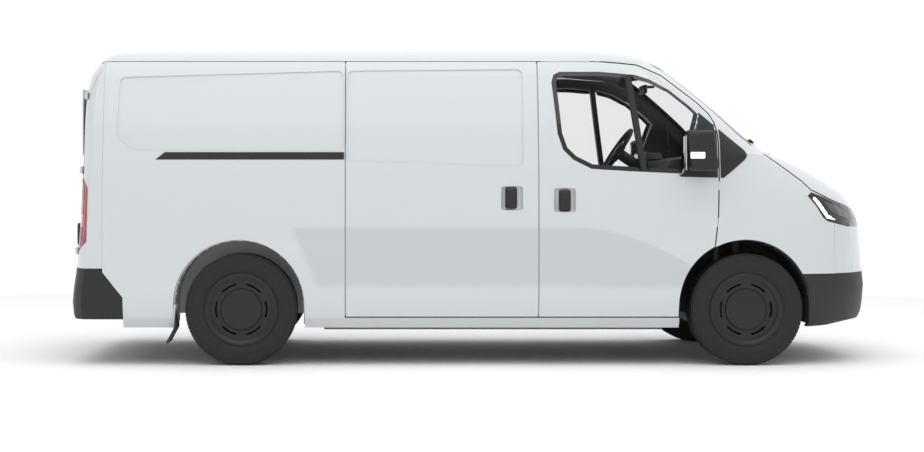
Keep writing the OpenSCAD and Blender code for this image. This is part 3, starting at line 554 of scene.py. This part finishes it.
def draped_plate(name, outline, targets, side, material, body, wall=3 * MM, cell=10 * MM, lift=0.0,
                 reach=(0.55, 1.05), axis="Y"):
    """A convex plate laid on the body's side, its corners in X and Z, or on its rear, in Y and Z."""
    xs, zs = [p[0] for p in outline], [p[1] for p in outline]
    width, height = max(xs) - min(xs) + 0.02, max(zs) - min(zs) + 0.02
    centre = ((max(xs) + min(xs)) / 2, side * 1.2, (max(zs) + min(zs)) / 2)
    bpy.ops.object.select_all(action="DESELECT")
    bpy.ops.mesh.primitive_grid_add(x_subdivisions=max(2, int(width / cell)),
                                    y_subdivisions=max(2, int(height / cell)), size=1, location=centre,
                                    rotation=(math.radians(90 * -side), 0, 0), scale=(1, 1, 1))
    plate = bpy.context.object
    plate.scale = (width, height, 1)
    settle(plate, name)
    bpy.ops.object.mode_set(mode="EDIT")
    turn = sum((outline[i][0] - outline[i - 1][0]) * (outline[i][1] + outline[i - 1][1])
               for i in range(len(outline)))
    sense = 1 if turn > 0 else -1
    for i in range(len(outline)):
        (x0, z0), (x1, z1) = outline[i - 1], outline[i]
        bpy.ops.mesh.select_all(action="SELECT")
        bpy.ops.mesh.bisect(plane_co=(x0, 0, z0), plane_no=(-(z1 - z0) * sense, 0, (x1 - x0) * sense),
                            clear_outer=True, clear_inner=False)
    leave_edit()
    if axis == "X":
        for vertex in plate.data.vertices:
            vertex.co = (-3.0, side * vertex.co.x, vertex.co.z)
        edit_all(plate)
        bpy.ops.mesh.normals_make_consistent(inside=False)
        leave_edit()
        if plate.data.polygons[0].normal.x > 0:
            plate.data.flip_normals()
    bed = targets[0]
    if len(targets) > 1:
        copies = [twin(target, "bed") for target in targets]
        only(copies[0])
        for copy in copies[1:]:
            copy.select_set(True)
        bpy.ops.object.join()
        bed = copies[0]
    apply_modifier(plate, "SHRINKWRAP", wrap_method="PROJECT", use_project_x=axis == "X",
                   use_project_y=axis == "Y", use_positive_direction=True, use_negative_direction=True,
                   target=bed, offset=lift)
    if bed is not targets[0]:
        remove(bed)
    only(plate)
    for part in (plate.data.polygons, plate.data.edges):
        part.foreach_set("select", [False] * len(part))
    depth = (lambda v: v.co.y * side) if axis == "Y" else (lambda v: -v.co.x)
    astray = [not reach[0] < depth(v) < reach[1] for v in plate.data.vertices]
    plate.data.vertices.foreach_set("select", astray)
    bpy.ops.object.mode_set(mode="EDIT")
    bpy.ops.mesh.select_mode(type="VERT")
    bpy.ops.mesh.delete(type="VERT")
    leave_edit()
    apply_modifier(plate, "SOLIDIFY", thickness=wall, offset=1.0)
    low, high = min(map(depth, plate.data.vertices)), max(map(depth, plate.data.vertices))
    apply_modifier(plate, "BEVEL", width=wall * 0.4, segments=2, limit_method="ANGLE",
                   angle_limit=math.radians(50))
    finish_piece(plate, material, body, angle=40)
    print(name, len(plate.data.polygons), "faces,", round(low, 3), "to", round(high, 3), "m out")
    return plate


CORNER = [(1.227, 1.172), (1.346, 1.552), (1.368, 1.549), (1.636, 1.324), (1.655, 1.291), (1.636, 1.260),
          (1.503, 1.150), (1.244, 1.157)]


def cut_outline(outline, x, keep_low):
    """Cuts a convex outline at an upright line and keeps one side."""
    kept = []
    for i in range(len(outline)):
        a, b = outline[i - 1], outline[i]
        if (a[0] < x) == keep_low:
            kept.append(a)
        if (a[0] < x) != (b[0] < x):
            part = (x - a[0]) / (b[0] - a[0])
            kept.append((x, a[1] + part * (b[1] - a[1])))
    return kept


for side, name in ((-1, "right"), (1, "left")):
    bed = [painted[n] for n in ("front_door_" + name, "fenders", "cab_frame")]
    draped_plate("mirror_plate_" + name, cut_outline(CORNER, 1.4665, True), bed, side, black_plastic,
                 body_of("front_door_" + name), reach=(0.83, 1.05))
    draped_plate("wing_plate_" + name, cut_outline(CORNER, 1.4840, False), bed, side, black_plastic, "root",
                 reach=(0.83, 1.05))

# %% [markdown]
# ## Door handles
# The handle is a black upright pad that bridges the cup in the skin on two feet.


# %% Pads
for node, side, x, z, pad_x, pad_z in HANDLES:
    y = cup_face[node]
    pad = rounded_block(node + "_handle", (0.077, 0.026, 0.134), (pad_x, y + side * 0.001, pad_z), 11 * MM,
                        inner_scale=0.86, inner_axis=-2 if side < 0 else 2)
    finish_piece(pad, black_plastic, body_of(node), angle=40)
    for end in (-1, 1):
        foot = rounded_block(node + "_handle_foot_%d" % (end + 1), (0.034, 0.030, 0.020),
                             (pad_x, y - side * 0.016, pad_z + end * 0.050), 4 * MM, segments=2)
        finish_piece(foot, black_plastic, body_of(node), angle=40)
    print(node, "handle at", round(pad_x, 3), round(y, 3), round(pad_z, 3))

# %% [markdown]
# ## Headlights
# The lamp is a gloss black housing. A thick white light guide follows its rear and lower
# edge, and a reflector box sits in the middle. Each is a thin plate laid on the lamp's own surface.

# %% Headlights
LAMP_GUIDE = (
    [(2.066, 1.026), (2.088, 1.028), (2.116, 0.996), (2.166, 0.926), (2.156, 0.902)],
    [(2.156, 0.902), (2.166, 0.926), (2.176, 0.918), (2.300, 0.886), (2.302, 0.874)])
LAMP_BOX = [(2.130, 1.020), (2.165, 1.012), (2.222, 0.984), (2.300, 0.962), (2.322, 0.915), (2.315, 0.895),
            (2.200, 0.935)]
for side, name in ((-1, "right"), (1, "left")):
    lamp = [painted["headlights"]]
    for number, outline in enumerate(LAMP_GUIDE):
        draped_plate("headlight_guide_%s_%d" % (name, number), outline, lamp, side, day_light, "root",
                     wall=2 * MM, cell=7 * MM, lift=1.5 * MM)
    draped_plate("headlight_reflector_" + name, LAMP_BOX, lamp, side, lamp_grey, "root", wall=1 * MM,
                 cell=9 * MM, lift=1.2 * MM)

# %% [markdown]
# ## Tail lights
# A bright red band outlines the cluster. Inside it sit a smoked panel, a clear reversing lens and a
# dark lower lens; the slim upper part is red with fine ribs.

# %% Tail lights
TAIL_PARTS = (
    ("red_upper", [(0.869, 1.345), (0.869, 1.170), (0.905, 1.165), (0.905, 1.318), (0.890, 1.345)], deep_red),
    ("smoke_top", [(0.869, 1.150), (0.869, 1.015), (0.922, 1.015), (0.922, 1.085), (0.905, 1.110)],
     smoke_lens),
    ("red_middle", [(0.869, 1.008), (0.869, 0.930), (0.922, 0.930), (0.922, 1.008)], deep_red),
    ("clear_middle", [(0.869, 0.923), (0.869, 0.850), (0.922, 0.850), (0.922, 0.923)], reverse_lens),
    ("smoke_low", [(0.869, 0.843), (0.869, 0.735), (0.900, 0.735), (0.922, 0.765), (0.922, 0.843)],
     smoke_lens))
for side, name in ((-1, "right"), (1, "left")):
    for part, outline, material in TAIL_PARTS:
        draped_plate("tail_%s_%s" % (part, name), outline, [painted["tail_lights"]], side, material, "root",
                     wall=1.5 * MM, cell=8 * MM, lift=1.0 * MM, reach=(2.3, 2.6), axis="X")

# %% [markdown]
# ## Wheels
# A van tyre's tread is cut into blocks by four grooves round it and many across. The carcass is spun
# from a half outline; then every tread face is inset a little and pushed out, which leaves a gap of
# a few millimetres round each block. Rings moulded in the sidewall catch the light as thin circles.

# %% Tyres
AXLES = {"front_right": (1.65, -1), "front_left": (1.65, 1),
         "rear_right": (-1.45, -1), "rear_left": (-1.45, 1)}
WHEEL_Z, WHEEL_Y, TYRE_R, RIM_R = 0.343, 0.850, 0.343, 0.2225
TREAD_STEPS = 84


def spun(name, profile, steps=96):
    """Spins a chain of (radius, across) points round the Y axis at the origin."""
    bpy.ops.object.select_all(action="DESELECT")
    bpy.ops.mesh.primitive_circle_add(vertices=len(profile), radius=0.1)
    ring = bpy.context.object
    for vertex, (radius, across) in zip(ring.data.vertices, profile):
        vertex.co = (radius, across, 0)
    bpy.ops.object.mode_set(mode="EDIT")
    bpy.ops.mesh.select_all(action="SELECT")
    bpy.ops.mesh.spin(steps=steps, angle=math.tau, center=(0, 0, 0), axis=(0, 1, 0))
    bpy.ops.mesh.select_all(action="SELECT")
    bpy.ops.mesh.remove_doubles(threshold=0.00002)
    bpy.ops.mesh.select_all(action="SELECT")
    bpy.ops.mesh.normals_make_consistent(inside=False)
    leave_edit()
    return settle(ring, name)


TREAD = TYRE_R - 8 * MM
carcass = []
for across in (-0.092, -0.058, -0.052, -0.022, -0.016, 0.016, 0.022, 0.052, 0.058, 0.092):
    carcass.append((TREAD, across))
carcass += [(TREAD - 0.004, 0.099), (TREAD - 0.016, 0.1035), (TREAD - 0.024, 0.1042),
            (TREAD - 0.027, 0.1060), (TREAD - 0.032, 0.1062), (TREAD - 0.034, 0.1046), (0.286, 0.1052),
            (0.268, 0.1046), (0.262, 0.1060), (0.258, 0.1046), (0.246, 0.1030), (0.236, 0.0990),
            (RIM_R + 0.008, 0.0955), (RIM_R - 0.004, 0.090)]
inner = [(radius, -across) for radius, across in reversed(carcass[10:])]
outline = carcass + [(RIM_R - 0.006, 0.060), (RIM_R - 0.006, -0.060)] + inner
master_tyre = spun("tyre_master", outline, TREAD_STEPS)
RIBS = ((-0.092, -0.058), (-0.052, -0.022), (-0.016, 0.016), (0.022, 0.052), (0.058, 0.092))
select_faces(master_tyre, lambda c, n: abs((c.x ** 2 + c.z ** 2) ** 0.5 - TREAD) < 2 * MM
             and any(a < c.y < b for a, b in RIBS))
bpy.ops.mesh.inset(thickness=2 * MM, depth=0.0, use_individual=True)
bpy.ops.transform.shrink_fatten(value=7.4 * MM)
leave_edit()
print("tyre", len(master_tyre.data.polygons), "faces")

# %% [markdown]
# Every tyre is a copy of this one with a mesh of its own. It stands where the frame's tyre stands and
# rolls with its wheel.


# %% Place the tyres
def wheel_copy(master, name, corner):
    x, side = AXLES[corner]
    piece = twin(master, name)
    piece.rotation_euler = (0, 0, 0 if side > 0 else math.pi)
    piece.location = (x, side * WHEEL_Y, WHEEL_Z)
    return settle(piece, name)


for corner in AXLES:
    remove(painted["tyre_" + corner])
    tyre = wheel_copy(master_tyre, "tyre_" + corner + "_tread", corner)
    finish_piece(tyre, tyre_rubber, body_of("tyre_" + corner), angle=32, replaces=("tyre_" + corner,))
remove(master_tyre)

# %% [markdown]
# The steel wheel hides behind a pressed black disc: six arc slots let air to the brake, a shallow step
# runs round it, and a smooth domed centre covers the nuts.

# %% Wheel discs
CENTRE_DOME = [(0.0005, 0.0130), (0.060, 0.0122), (0.110, 0.0100), (0.124, 0.0070), (0.128, 0.0020),
               (0.128, -0.004), (0.0005, -0.004)]
cap = spun("cap_master", CENTRE_DOME, 72)
for corner, (x, side) in AXLES.items():
    skin = painted["rim_" + corner]
    place = first_hit(skin, (x + 0.115, side * 2.0, WHEEL_Z), (0, -side, 0), (x, side * (WHEEL_Y + 0.03), 0))
    face = abs(place.y) - WHEEL_Y
    piece = wheel_copy(cap, "wheel_centre_" + corner, corner)
    edit_all(piece)
    bpy.ops.transform.translate(value=(0, side * (face + 0.003), 0))
    leave_edit()
    finish_piece(piece, wheel_coat, body_of("rim_" + corner), angle=35)
    print(corner, "disc face at", round(face, 4))
remove(cap)

# %% [markdown]
# ## Arch liners
# Liners are moulded with stiffening ribs. The rear ones are paler and their ribs show above the tyre.

# %% Liner ribs
RIBS_PER_ARCH = 17
second_finish(painted["wheel_arch_liners"], pale_liner, lambda c, n: c.x < 0 and c.z > 0.3)
rib = rounded_block("rib", (0.010, 0.240, 0.006), (0, 0, 0.394), 2 * MM, segments=2)
for name, (x, side) in AXLES.items():
    ribs = []
    centre = (x - 0.012, side * 0.80, 0.370)
    for step in range(RIBS_PER_ARCH):
        turn = math.radians(-80 + 10 * step)
        copy = twin(rib, "rib")
        copy.rotation_euler = (0, turn, 0)
        copy.location = centre
        ribs.append(copy)
    only(ribs[0])
    for copy in ribs:
        copy.select_set(True)
    bpy.ops.object.join()
    joined = settle(bpy.context.object, "arch_ribs_" + name)
    finish_piece(joined, pale_liner if x < 0 else liner_felt, "root", angle=40)
remove(rib)
print("ribs", RIBS_PER_ARCH, "per arch")

# %% [markdown]
# ## Mirrors
# Each mirror's shell carries a turn signal, a bright strip facing outward, and the silvered glass at its
# back.

# %% Mirror glass and signals
for side, name in ((-1, "right"), (1, "left")):
    shell = painted["mirror_" + name]
    low, high = (Vector([pick(v.co[i] for v in shell.data.vertices) for i in range(3)])
                 for pick in (min, max))
    outermost = max(abs(low.y), abs(high.y))
    signal = rounded_block("signal_" + name, (0.090, 0.012, 0.040),
                           (1.312, side * (outermost - 0.001), 1.285), 5 * MM, inner_scale=0.9,
                           inner_axis=-2 if side < 0 else 2)
    finish_piece(signal, day_light, body_of("mirror_" + name), angle=40)
    glass = rounded_block("mirror_glass_" + name, (0.008, 0.080, 0.210),
                          (low.x + 0.002, side * 1.100, 1.300), 3 * MM, inner_scale=0.97, inner_axis=-1)
    finish_piece(glass, mirror_silver, body_of("mirror_" + name), angle=40)
    print("mirror", name, "from", [round(v, 3) for v in low], "to", [round(v, 3) for v in high])

# %% [markdown]
# ## Small outside parts
# At the back: a grip on the right door, hinges on both doors, a blank plate on a black field, two raised
# window blanks, and a high brake lamp. At the front: nine bars in the intake and another blank plate.
# On the roof: the foot of an aerial.

# %% Back and front fittings
INTAKE_BARS, INTAKE_LOW, BAR_PITCH = 9, 0.306, 0.0182


def fitted(name, size, centre, radius, material, body, **shape):
    piece = rounded_block(name, size, centre, radius, **shape)
    return finish_piece(piece, material, body, angle=40)


def rear_x(z, y=0.3, door="rear_door_right", miss=-2.5):
    """Where a rear door's outer face stands."""
    side = 1 if door.endswith("left") else -1
    return first_hit(painted[door], (-4, side * y, z), (1, 0, 0), (miss, 0, z)).x


grip_x = rear_x(1.005, 0.10)
fitted("rear_grip", (0.030, 0.120, 0.050), (grip_x - 0.006, -0.075, 1.005), 8 * MM, black_plastic,
       "rear_door_right", inner_scale=0.85, inner_axis=-1)
for side, name in ((-1, "right"), (1, "left")):
    body = "rear_door_" + name
    for z in (0.70, 1.20, 1.66):
        at = rear_x(z, 0.80, body, -2.48)
        fitted("rear_hinge_%s_%d" % (name, round(z * 100)), (0.020, 0.085, 0.050),
               (at - 0.004, side * 0.812, z), 6 * MM, white_paint, body, inner_scale=0.8, inner_axis=-1)
    fitted("rear_window_blank_" + name, (0.010, 0.60, 0.42), (rear_x(1.50, 0.42) + 0.002, side * 0.42, 1.50),
           4 * MM, white_paint, body, inner_scale=0.94, inner_axis=-1)
fitted("plate_field", (0.016, 0.54, 0.14), (rear_x(0.80, 0.42) - 0.002, -0.42, 0.80), 5 * MM, black_plastic,
       "rear_door_right", inner_scale=0.96, inner_axis=-1)
fitted("rear_plate", (0.005, 0.52, 0.11), (rear_x(0.80, 0.42) - 0.011, -0.42, 0.80), 1.5 * MM, plate_white,
       "rear_door_right", inner_scale=0.99, inner_axis=-1)
fitted("high_brake_lamp", (0.020, 0.34, 0.030), (-2.352, 0.0, 1.888), 6 * MM, deep_red, "root",
       inner_scale=0.9, inner_axis=-1)
for number in range(INTAKE_BARS):
    fitted("intake_bar_%d" % number, (0.008, 0.86, 0.006), (2.452, 0, INTAKE_LOW + number * BAR_PITCH),
           2 * MM, black_plastic, "root", segments=2)
fitted("front_plate", (0.006, 0.52, 0.11), (2.531, 0, 0.50), 1.5 * MM, plate_white, "root",
       inner_scale=0.99, inner_axis=1)
AERIAL_X = -2.18
roof_at = first_hit(painted["roof_panel"], (AERIAL_X, 0, 4), (0, 0, -1), (0, 0, 1.94)).z
fitted("aerial_base", (0.070, 0.045, 0.022), (AERIAL_X, 0, roof_at + 0.006), 8 * MM, black_plastic, "root",
       inner_scale=0.7, inner_axis=3)
print("rear grip at", round(grip_x, 3), "roof at", round(roof_at, 3))

# %% [markdown]
# ## Seats
# Van seats are foam pads in woven cloth. A driver's seat stands alone and a two-seat bench stands
# beside it. Each pad starts as a rounded block a little smaller than
# the room the frame keeps for it. Cloth simulation then blows it up, as foam fills its cover.


# %% Padded pads
def seat_cloth(name, colour, thread):
    material, tree, surface = new_material(name, Roughness=0.9, Sheen_Weight=0.25, Sheen_Roughness=0.5)
    place = add_node(tree, "ShaderNodeTexCoord")
    warp = add_node(tree, "ShaderNodeTexWave", {"wave_type": "BANDS", "bands_direction": "Y"}, {
        "Vector": place.outputs["Object"], "Scale": 2 * math.pi / (20 * thread), "Distortion": 0.4})
    weft = add_node(tree, "ShaderNodeTexWave", {"wave_type": "BANDS", "bands_direction": "Z"}, {
        "Vector": place.outputs["Object"], "Scale": 2 * math.pi / (20 * thread), "Distortion": 0.4})
    weave = add_node(tree, "ShaderNodeMath", {"operation": "MULTIPLY"}, {
        0: warp.outputs["Fac"], 1: weft.outputs["Fac"]})
    bumped(tree, surface, weave.outputs["Value"], 0.5, 0.6 * MM)
    two_toned(tree, surface, weave.outputs["Value"], darker(colour, 0.55), linear(colour))
    return material


SEAT_CLOTH = seat_cloth("woven_seat_cloth", "#3a3d41", 6 * MM)
SEAT_X, LEAN = 0.472, math.radians(14)
SWELL_FRAMES = 16


def pad(name, size, centre, lean=0.0, origin=(0, 0, 0), swell=14 * MM):
    """A foam pad: a rounded block, remeshed, blown up by cloth pressure, and capped in its swelling."""
    start_size = tuple(s - 2 * swell * 0.8 for s in size)
    block = rounded_block(name, start_size, centre, min(size) * 0.22, segments=4)
    apply_modifier(block, "REMESH", mode="VOXEL", voxel_size=11 * MM)
    start = np.array([v.co[:] for v in block.data.vertices])
    only(block)
    cloth = block.modifiers.new("cloth", "CLOTH")
    cloth.settings.use_pressure = True
    cloth.settings.uniform_pressure_force = 4.0
    cloth.settings.quality = 4
    cloth.settings.mass = 0.3
    cloth.settings.effector_weights.gravity = 0.0
    cloth.point_cache.frame_start, cloth.point_cache.frame_end = 1, SWELL_FRAMES
    scene = bpy.context.scene
    for step in range(1, SWELL_FRAMES + 1):
        scene.frame_set(step)
    moved = block.evaluated_get(bpy.context.evaluated_depsgraph_get()).to_mesh()
    after = np.array([v.co[:] for v in moved.vertices])
    block.evaluated_get(bpy.context.evaluated_depsgraph_get()).to_mesh_clear()
    block.modifiers.remove(cloth)
    scene.frame_set(1)
    shift = after - start
    length = np.linalg.norm(shift, axis=1, keepdims=True)
    shift *= np.minimum(1.0, swell / np.maximum(length, 1e-9))
    block.data.vertices.foreach_set("co", (start + shift).ravel())
    print(name, "swelled up to", round(float(np.max(np.linalg.norm(shift, axis=1))) * 1000, 1), "mm")
    apply_modifier(block, "SMOOTH", factor=0.5, iterations=3)
    apply_modifier(block, "SUBSURF", levels=1, render_levels=1)
    if lean:
        block.rotation_euler = (0, -lean, 0)
        block.location = origin
    settle(block, name)
    finish_piece(block, SEAT_CLOTH, "root", angle=0)
    only(block)
    bpy.ops.object.shade_smooth()
    return block


SEATS = (("driver", 0.410, 0.520), ("bench_inner", -0.100, 0.436), ("bench_outer", -0.540, 0.436))
cushions = []
for name, y, width in SEATS:
    cushions.append(pad("cushion_" + name, (0.500, width, 0.130), (SEAT_X + 0.195, y, 0.832)))
    cushions.append(pad("backrest_" + name, (0.106, width - 0.012, 0.545), (-0.055, y, 0.284), LEAN,
                        (SEAT_X - 0.060, 0, 0.901)))
    cushions.append(pad("headrest_" + name, (0.080, 0.250, 0.176), (-0.055, y, 0.680), LEAN,
                        (SEAT_X - 0.060, 0, 0.901), swell=8 * MM))
print("pads", len(cushions))

# %% [markdown]
# Below the pads: moulded pedestals with a drawn-in foot, and bright steel posts for the headrests.

# %% Pedestals and posts
remove(painted["seats"])
for name, y, width in (("driver", 0.410, 0.480), ("bench", -0.320, 0.840)):
    fitted("pedestal_" + name, (0.400, width, 0.205), (SEAT_X + 0.190, y, 0.6625), 14 * MM,
                            cab_plastic, "root", inner_scale=0.92, inner_axis=-3)
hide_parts("seats")
for name, y, width in SEATS:
    for offset in (-0.060, 0.060):
        bpy.ops.object.select_all(action="DESELECT")
        bpy.ops.mesh.primitive_cylinder_add(vertices=20, radius=0.006, depth=0.085,
                                            location=(-0.055, y + offset, 0.575))
        post = settle(bpy.context.object, "post_%s_%d" % (name, 1 if offset > 0 else 0))
        apply_modifier(post, "BEVEL", width=1 * MM, segments=2, limit_method="ANGLE")
        post.rotation_euler = (0, -LEAN, 0)
        post.location = (SEAT_X - 0.060, 0, 0.901)
        settle(post, post.name)
        finish_piece(post, pin_steel, "root", angle=35)

# %% [markdown]
# ## Dashboard
# On the dashboard stand a hood over the instruments, a screen in the middle and four air vents, and a
# mirror hangs under the roof.

# %% Dashboard fittings
fitted("instrument_hood", (0.150, 0.340, 0.050), (1.270, 0.410, 1.308), 16 * MM, cab_plastic, "root",
       inner_scale=0.8, inner_axis=3)
fitted("instrument_glass", (0.010, 0.280, 0.080), (1.192, 0.410, 1.288), 4 * MM, piano_black, "root",
       inner_scale=0.95, inner_axis=-1)
fitted("centre_screen", (0.016, 0.260, 0.160), (1.168, 0.0, 1.250), 6 * MM, piano_black, "root",
       inner_scale=0.97, inner_axis=-1)
for number, y in enumerate((-0.70, -0.20, 0.17, 0.70)):
    fitted("air_vent_%d" % number, (0.014, 0.110, 0.060), (1.160, y, 1.190), 8 * MM, black_plastic, "root",
           inner_scale=0.9, inner_axis=-1)
fitted("cab_mirror", (0.024, 0.230, 0.062), (1.165, 0.0, 1.745), 9 * MM, black_plastic, "root",
       inner_scale=0.9, inner_axis=1)
fitted("cab_mirror_stalk", (0.070, 0.022, 0.022), (1.205, 0.0, 1.765), 5 * MM, black_plastic, "root",
       inner_scale=0.7, inner_axis=1)
print("dashboard fittings ready")

# %% [markdown]
# ## Seals and brake shields
# A rubber section closes each shut line, so that no daylight comes through beside a door. It is a thin
# grid stood on edge in the gap. Each row's depth is taken from the neighbouring skin by a ray, so that
# the strip follows the inward lean of the side. The sliding door's seals are pale grey and lie 3.5
# mm below the skin. Those at the front doors' hinge edges are black and lie behind the door.


# %% Seals
def shut_seal(name, neighbour, side, x, width, heights, depth, material, rows=48):
    low, high = heights
    bare = copy_node(neighbour, "bare")
    bpy.ops.object.select_all(action="DESELECT")
    bpy.ops.mesh.primitive_grid_add(x_subdivisions=1, y_subdivisions=rows, size=1)
    strip = bpy.context.object
    strip.scale = (width, high - low, 1)
    strip.rotation_euler = (math.pi / 2, 0, 0)
    strip.location = (x, 0, (low + high) / 2)
    settle(strip, name)
    skin = side * 0.95
    for vertex in strip.data.vertices:
        found = first_hit(bare, (x - 0.030, side * 2.0, vertex.co.z), (0, -side, 0), (0, 0, 0)).y
        if abs(found) > 0.7:
            skin = found
        vertex.co.y = skin - side * depth
    remove(bare)
    apply_modifier(strip, "SOLIDIFY", thickness=10 * MM, offset=0.0)
    apply_modifier(strip, "BEVEL", width=1 * MM, segments=2, limit_method="ANGLE")
    return finish_piece(strip, material, "root", angle=35)


seal_grey = plain_finish("grey_epdm_rubber", "#b4b8ba", 0.8, bump_size=1.5 * MM)
seal_black = plain_finish("black_epdm_rubber", "#17181a", 0.8, bump_size=1.5 * MM)
slide_low, slide_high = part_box("sliding_door")
seal_heights = (slide_low.z + 0.010, slide_high.z - 0.012)
for end, neighbour, x in (("front", "sliding_door", slide_high.x + 0.004),
                          ("rear", "side_panel_right", slide_low.x - 0.004)):
    shut_seal("slide_seal_" + end, neighbour, -1, x, 7 * MM, seal_heights, 8.5 * MM, seal_grey)
for name, side in (("right", -1), ("left", 1)):
    door_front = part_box("front_door_" + name)[1].x
    shut_seal("door_seal_" + name, "front_door_" + name, side, door_front + 0.004, 30 * MM, (0.640, 1.400),
              80 * MM, seal_black)
print("seals", 4)

# %% [markdown]
# The mirror's black corner plate runs across the front shut line. The edges inside the line are painted
# white by the panels' own finish, so beside the plate they are given the plate's black as painted shade in
# the gap.

# %% Painted shade in the shut line beside the corner plate
# The gap's walls beside the plate get black: painted shade, not the panels' own colour.
for name in ("fenders", "front_door_right", "front_door_left"):
    second_finish(painted[name], black_plastic, lambda c, n: abs(n.x) > 0.2 and abs(c.x - 1.479) < 0.020
                  and 1.22 < c.z < 1.50)
print("shut line darkened")

# %% [markdown]
# Behind each wheel's slots stands the brake's dust shield, a shallow pressed ring that keeps the floor
# from showing through.

# %% Dust shields
SHIELD = [(0.142, -0.004), (0.176, -0.004), (0.184, 0.004), (0.184, 0.006), (0.176, -0.002), (0.142, -0.002)]
shield_master = spun("shield_master", SHIELD)
for corner in AXLES:
    shield = wheel_copy(shield_master, "dust_shield_" + corner, corner)
    front = corner.startswith("front")
    finish_piece(shield, chassis_coat, body_of("knuckle_" + corner[6:]) if front else "root", angle=35)
remove(shield_master)
print("dust shields", len(AXLES))

# %% [markdown]
# ## Studio
# The van stands on a round white floor in front of a white world. A big soft light overhead gives the
# roof and shoulders their even tone, and a weaker one fills the side.

# %% Floor and light
bpy.ops.object.select_all(action="DESELECT")
bpy.ops.mesh.primitive_circle_add(vertices=96, radius=7.5, fill_type="NGON", location=(0, 0, 0))
studio_floor = bpy.context.object
studio_floor.name = "studio_floor"
floor_finish, *_, floor_surface = new_material("white_studio_floor", Roughness=0.9)
floor_surface.inputs["Base Color"].default_value = linear("#ffffff")
floor_surface.inputs["Specular IOR Level"].default_value = 0.1
studio_floor.data.materials.append(floor_finish)

world = bpy.data.worlds.new("studio_world")
bpy.context.scene.world = world
world.use_nodes = True
sky = world.node_tree.nodes["Background"]
sky_tree = world.node_tree
where = add_node(sky_tree, "ShaderNodeTexCoord")
parts = add_node(sky_tree, "ShaderNodeSeparateXYZ", inputs={"Vector": where.outputs["Generated"]})
glow = add_node(sky_tree, "ShaderNodeMapRange", inputs={
    "Value": parts.outputs["Y"], "From Min": -0.1, "From Max": 0.6, "To Min": 0.72, "To Max": 1.05})
sky_tree.links.new(glow.outputs["Result"], sky.inputs["Strength"])
sky.inputs["Color"].default_value = linear("#ffffff")


def soft_light(name, where, toward, size, power):
    data = bpy.data.lights.new(name, "AREA")
    data.shape = "RECTANGLE"
    data.size, data.size_y = size
    data.energy = power
    lamp = bpy.data.objects.new(name, data)
    bpy.context.scene.collection.objects.link(lamp)
    lamp.location = where
    lamp.rotation_euler = (Vector(toward) - Vector(where)).to_track_quat("-Z", "Y").to_euler()
    return lamp


soft_light("overhead_bank", (0, -3.0, 8.0), (0, 0, 0), (12, 8), 330)
soft_light("side_bank", (-1.0, -10.5, 7.0), (0, 0, 0.8), (12, 4), 120)
bpy.context.scene.view_settings.view_transform = "Standard"
print("studio ready")
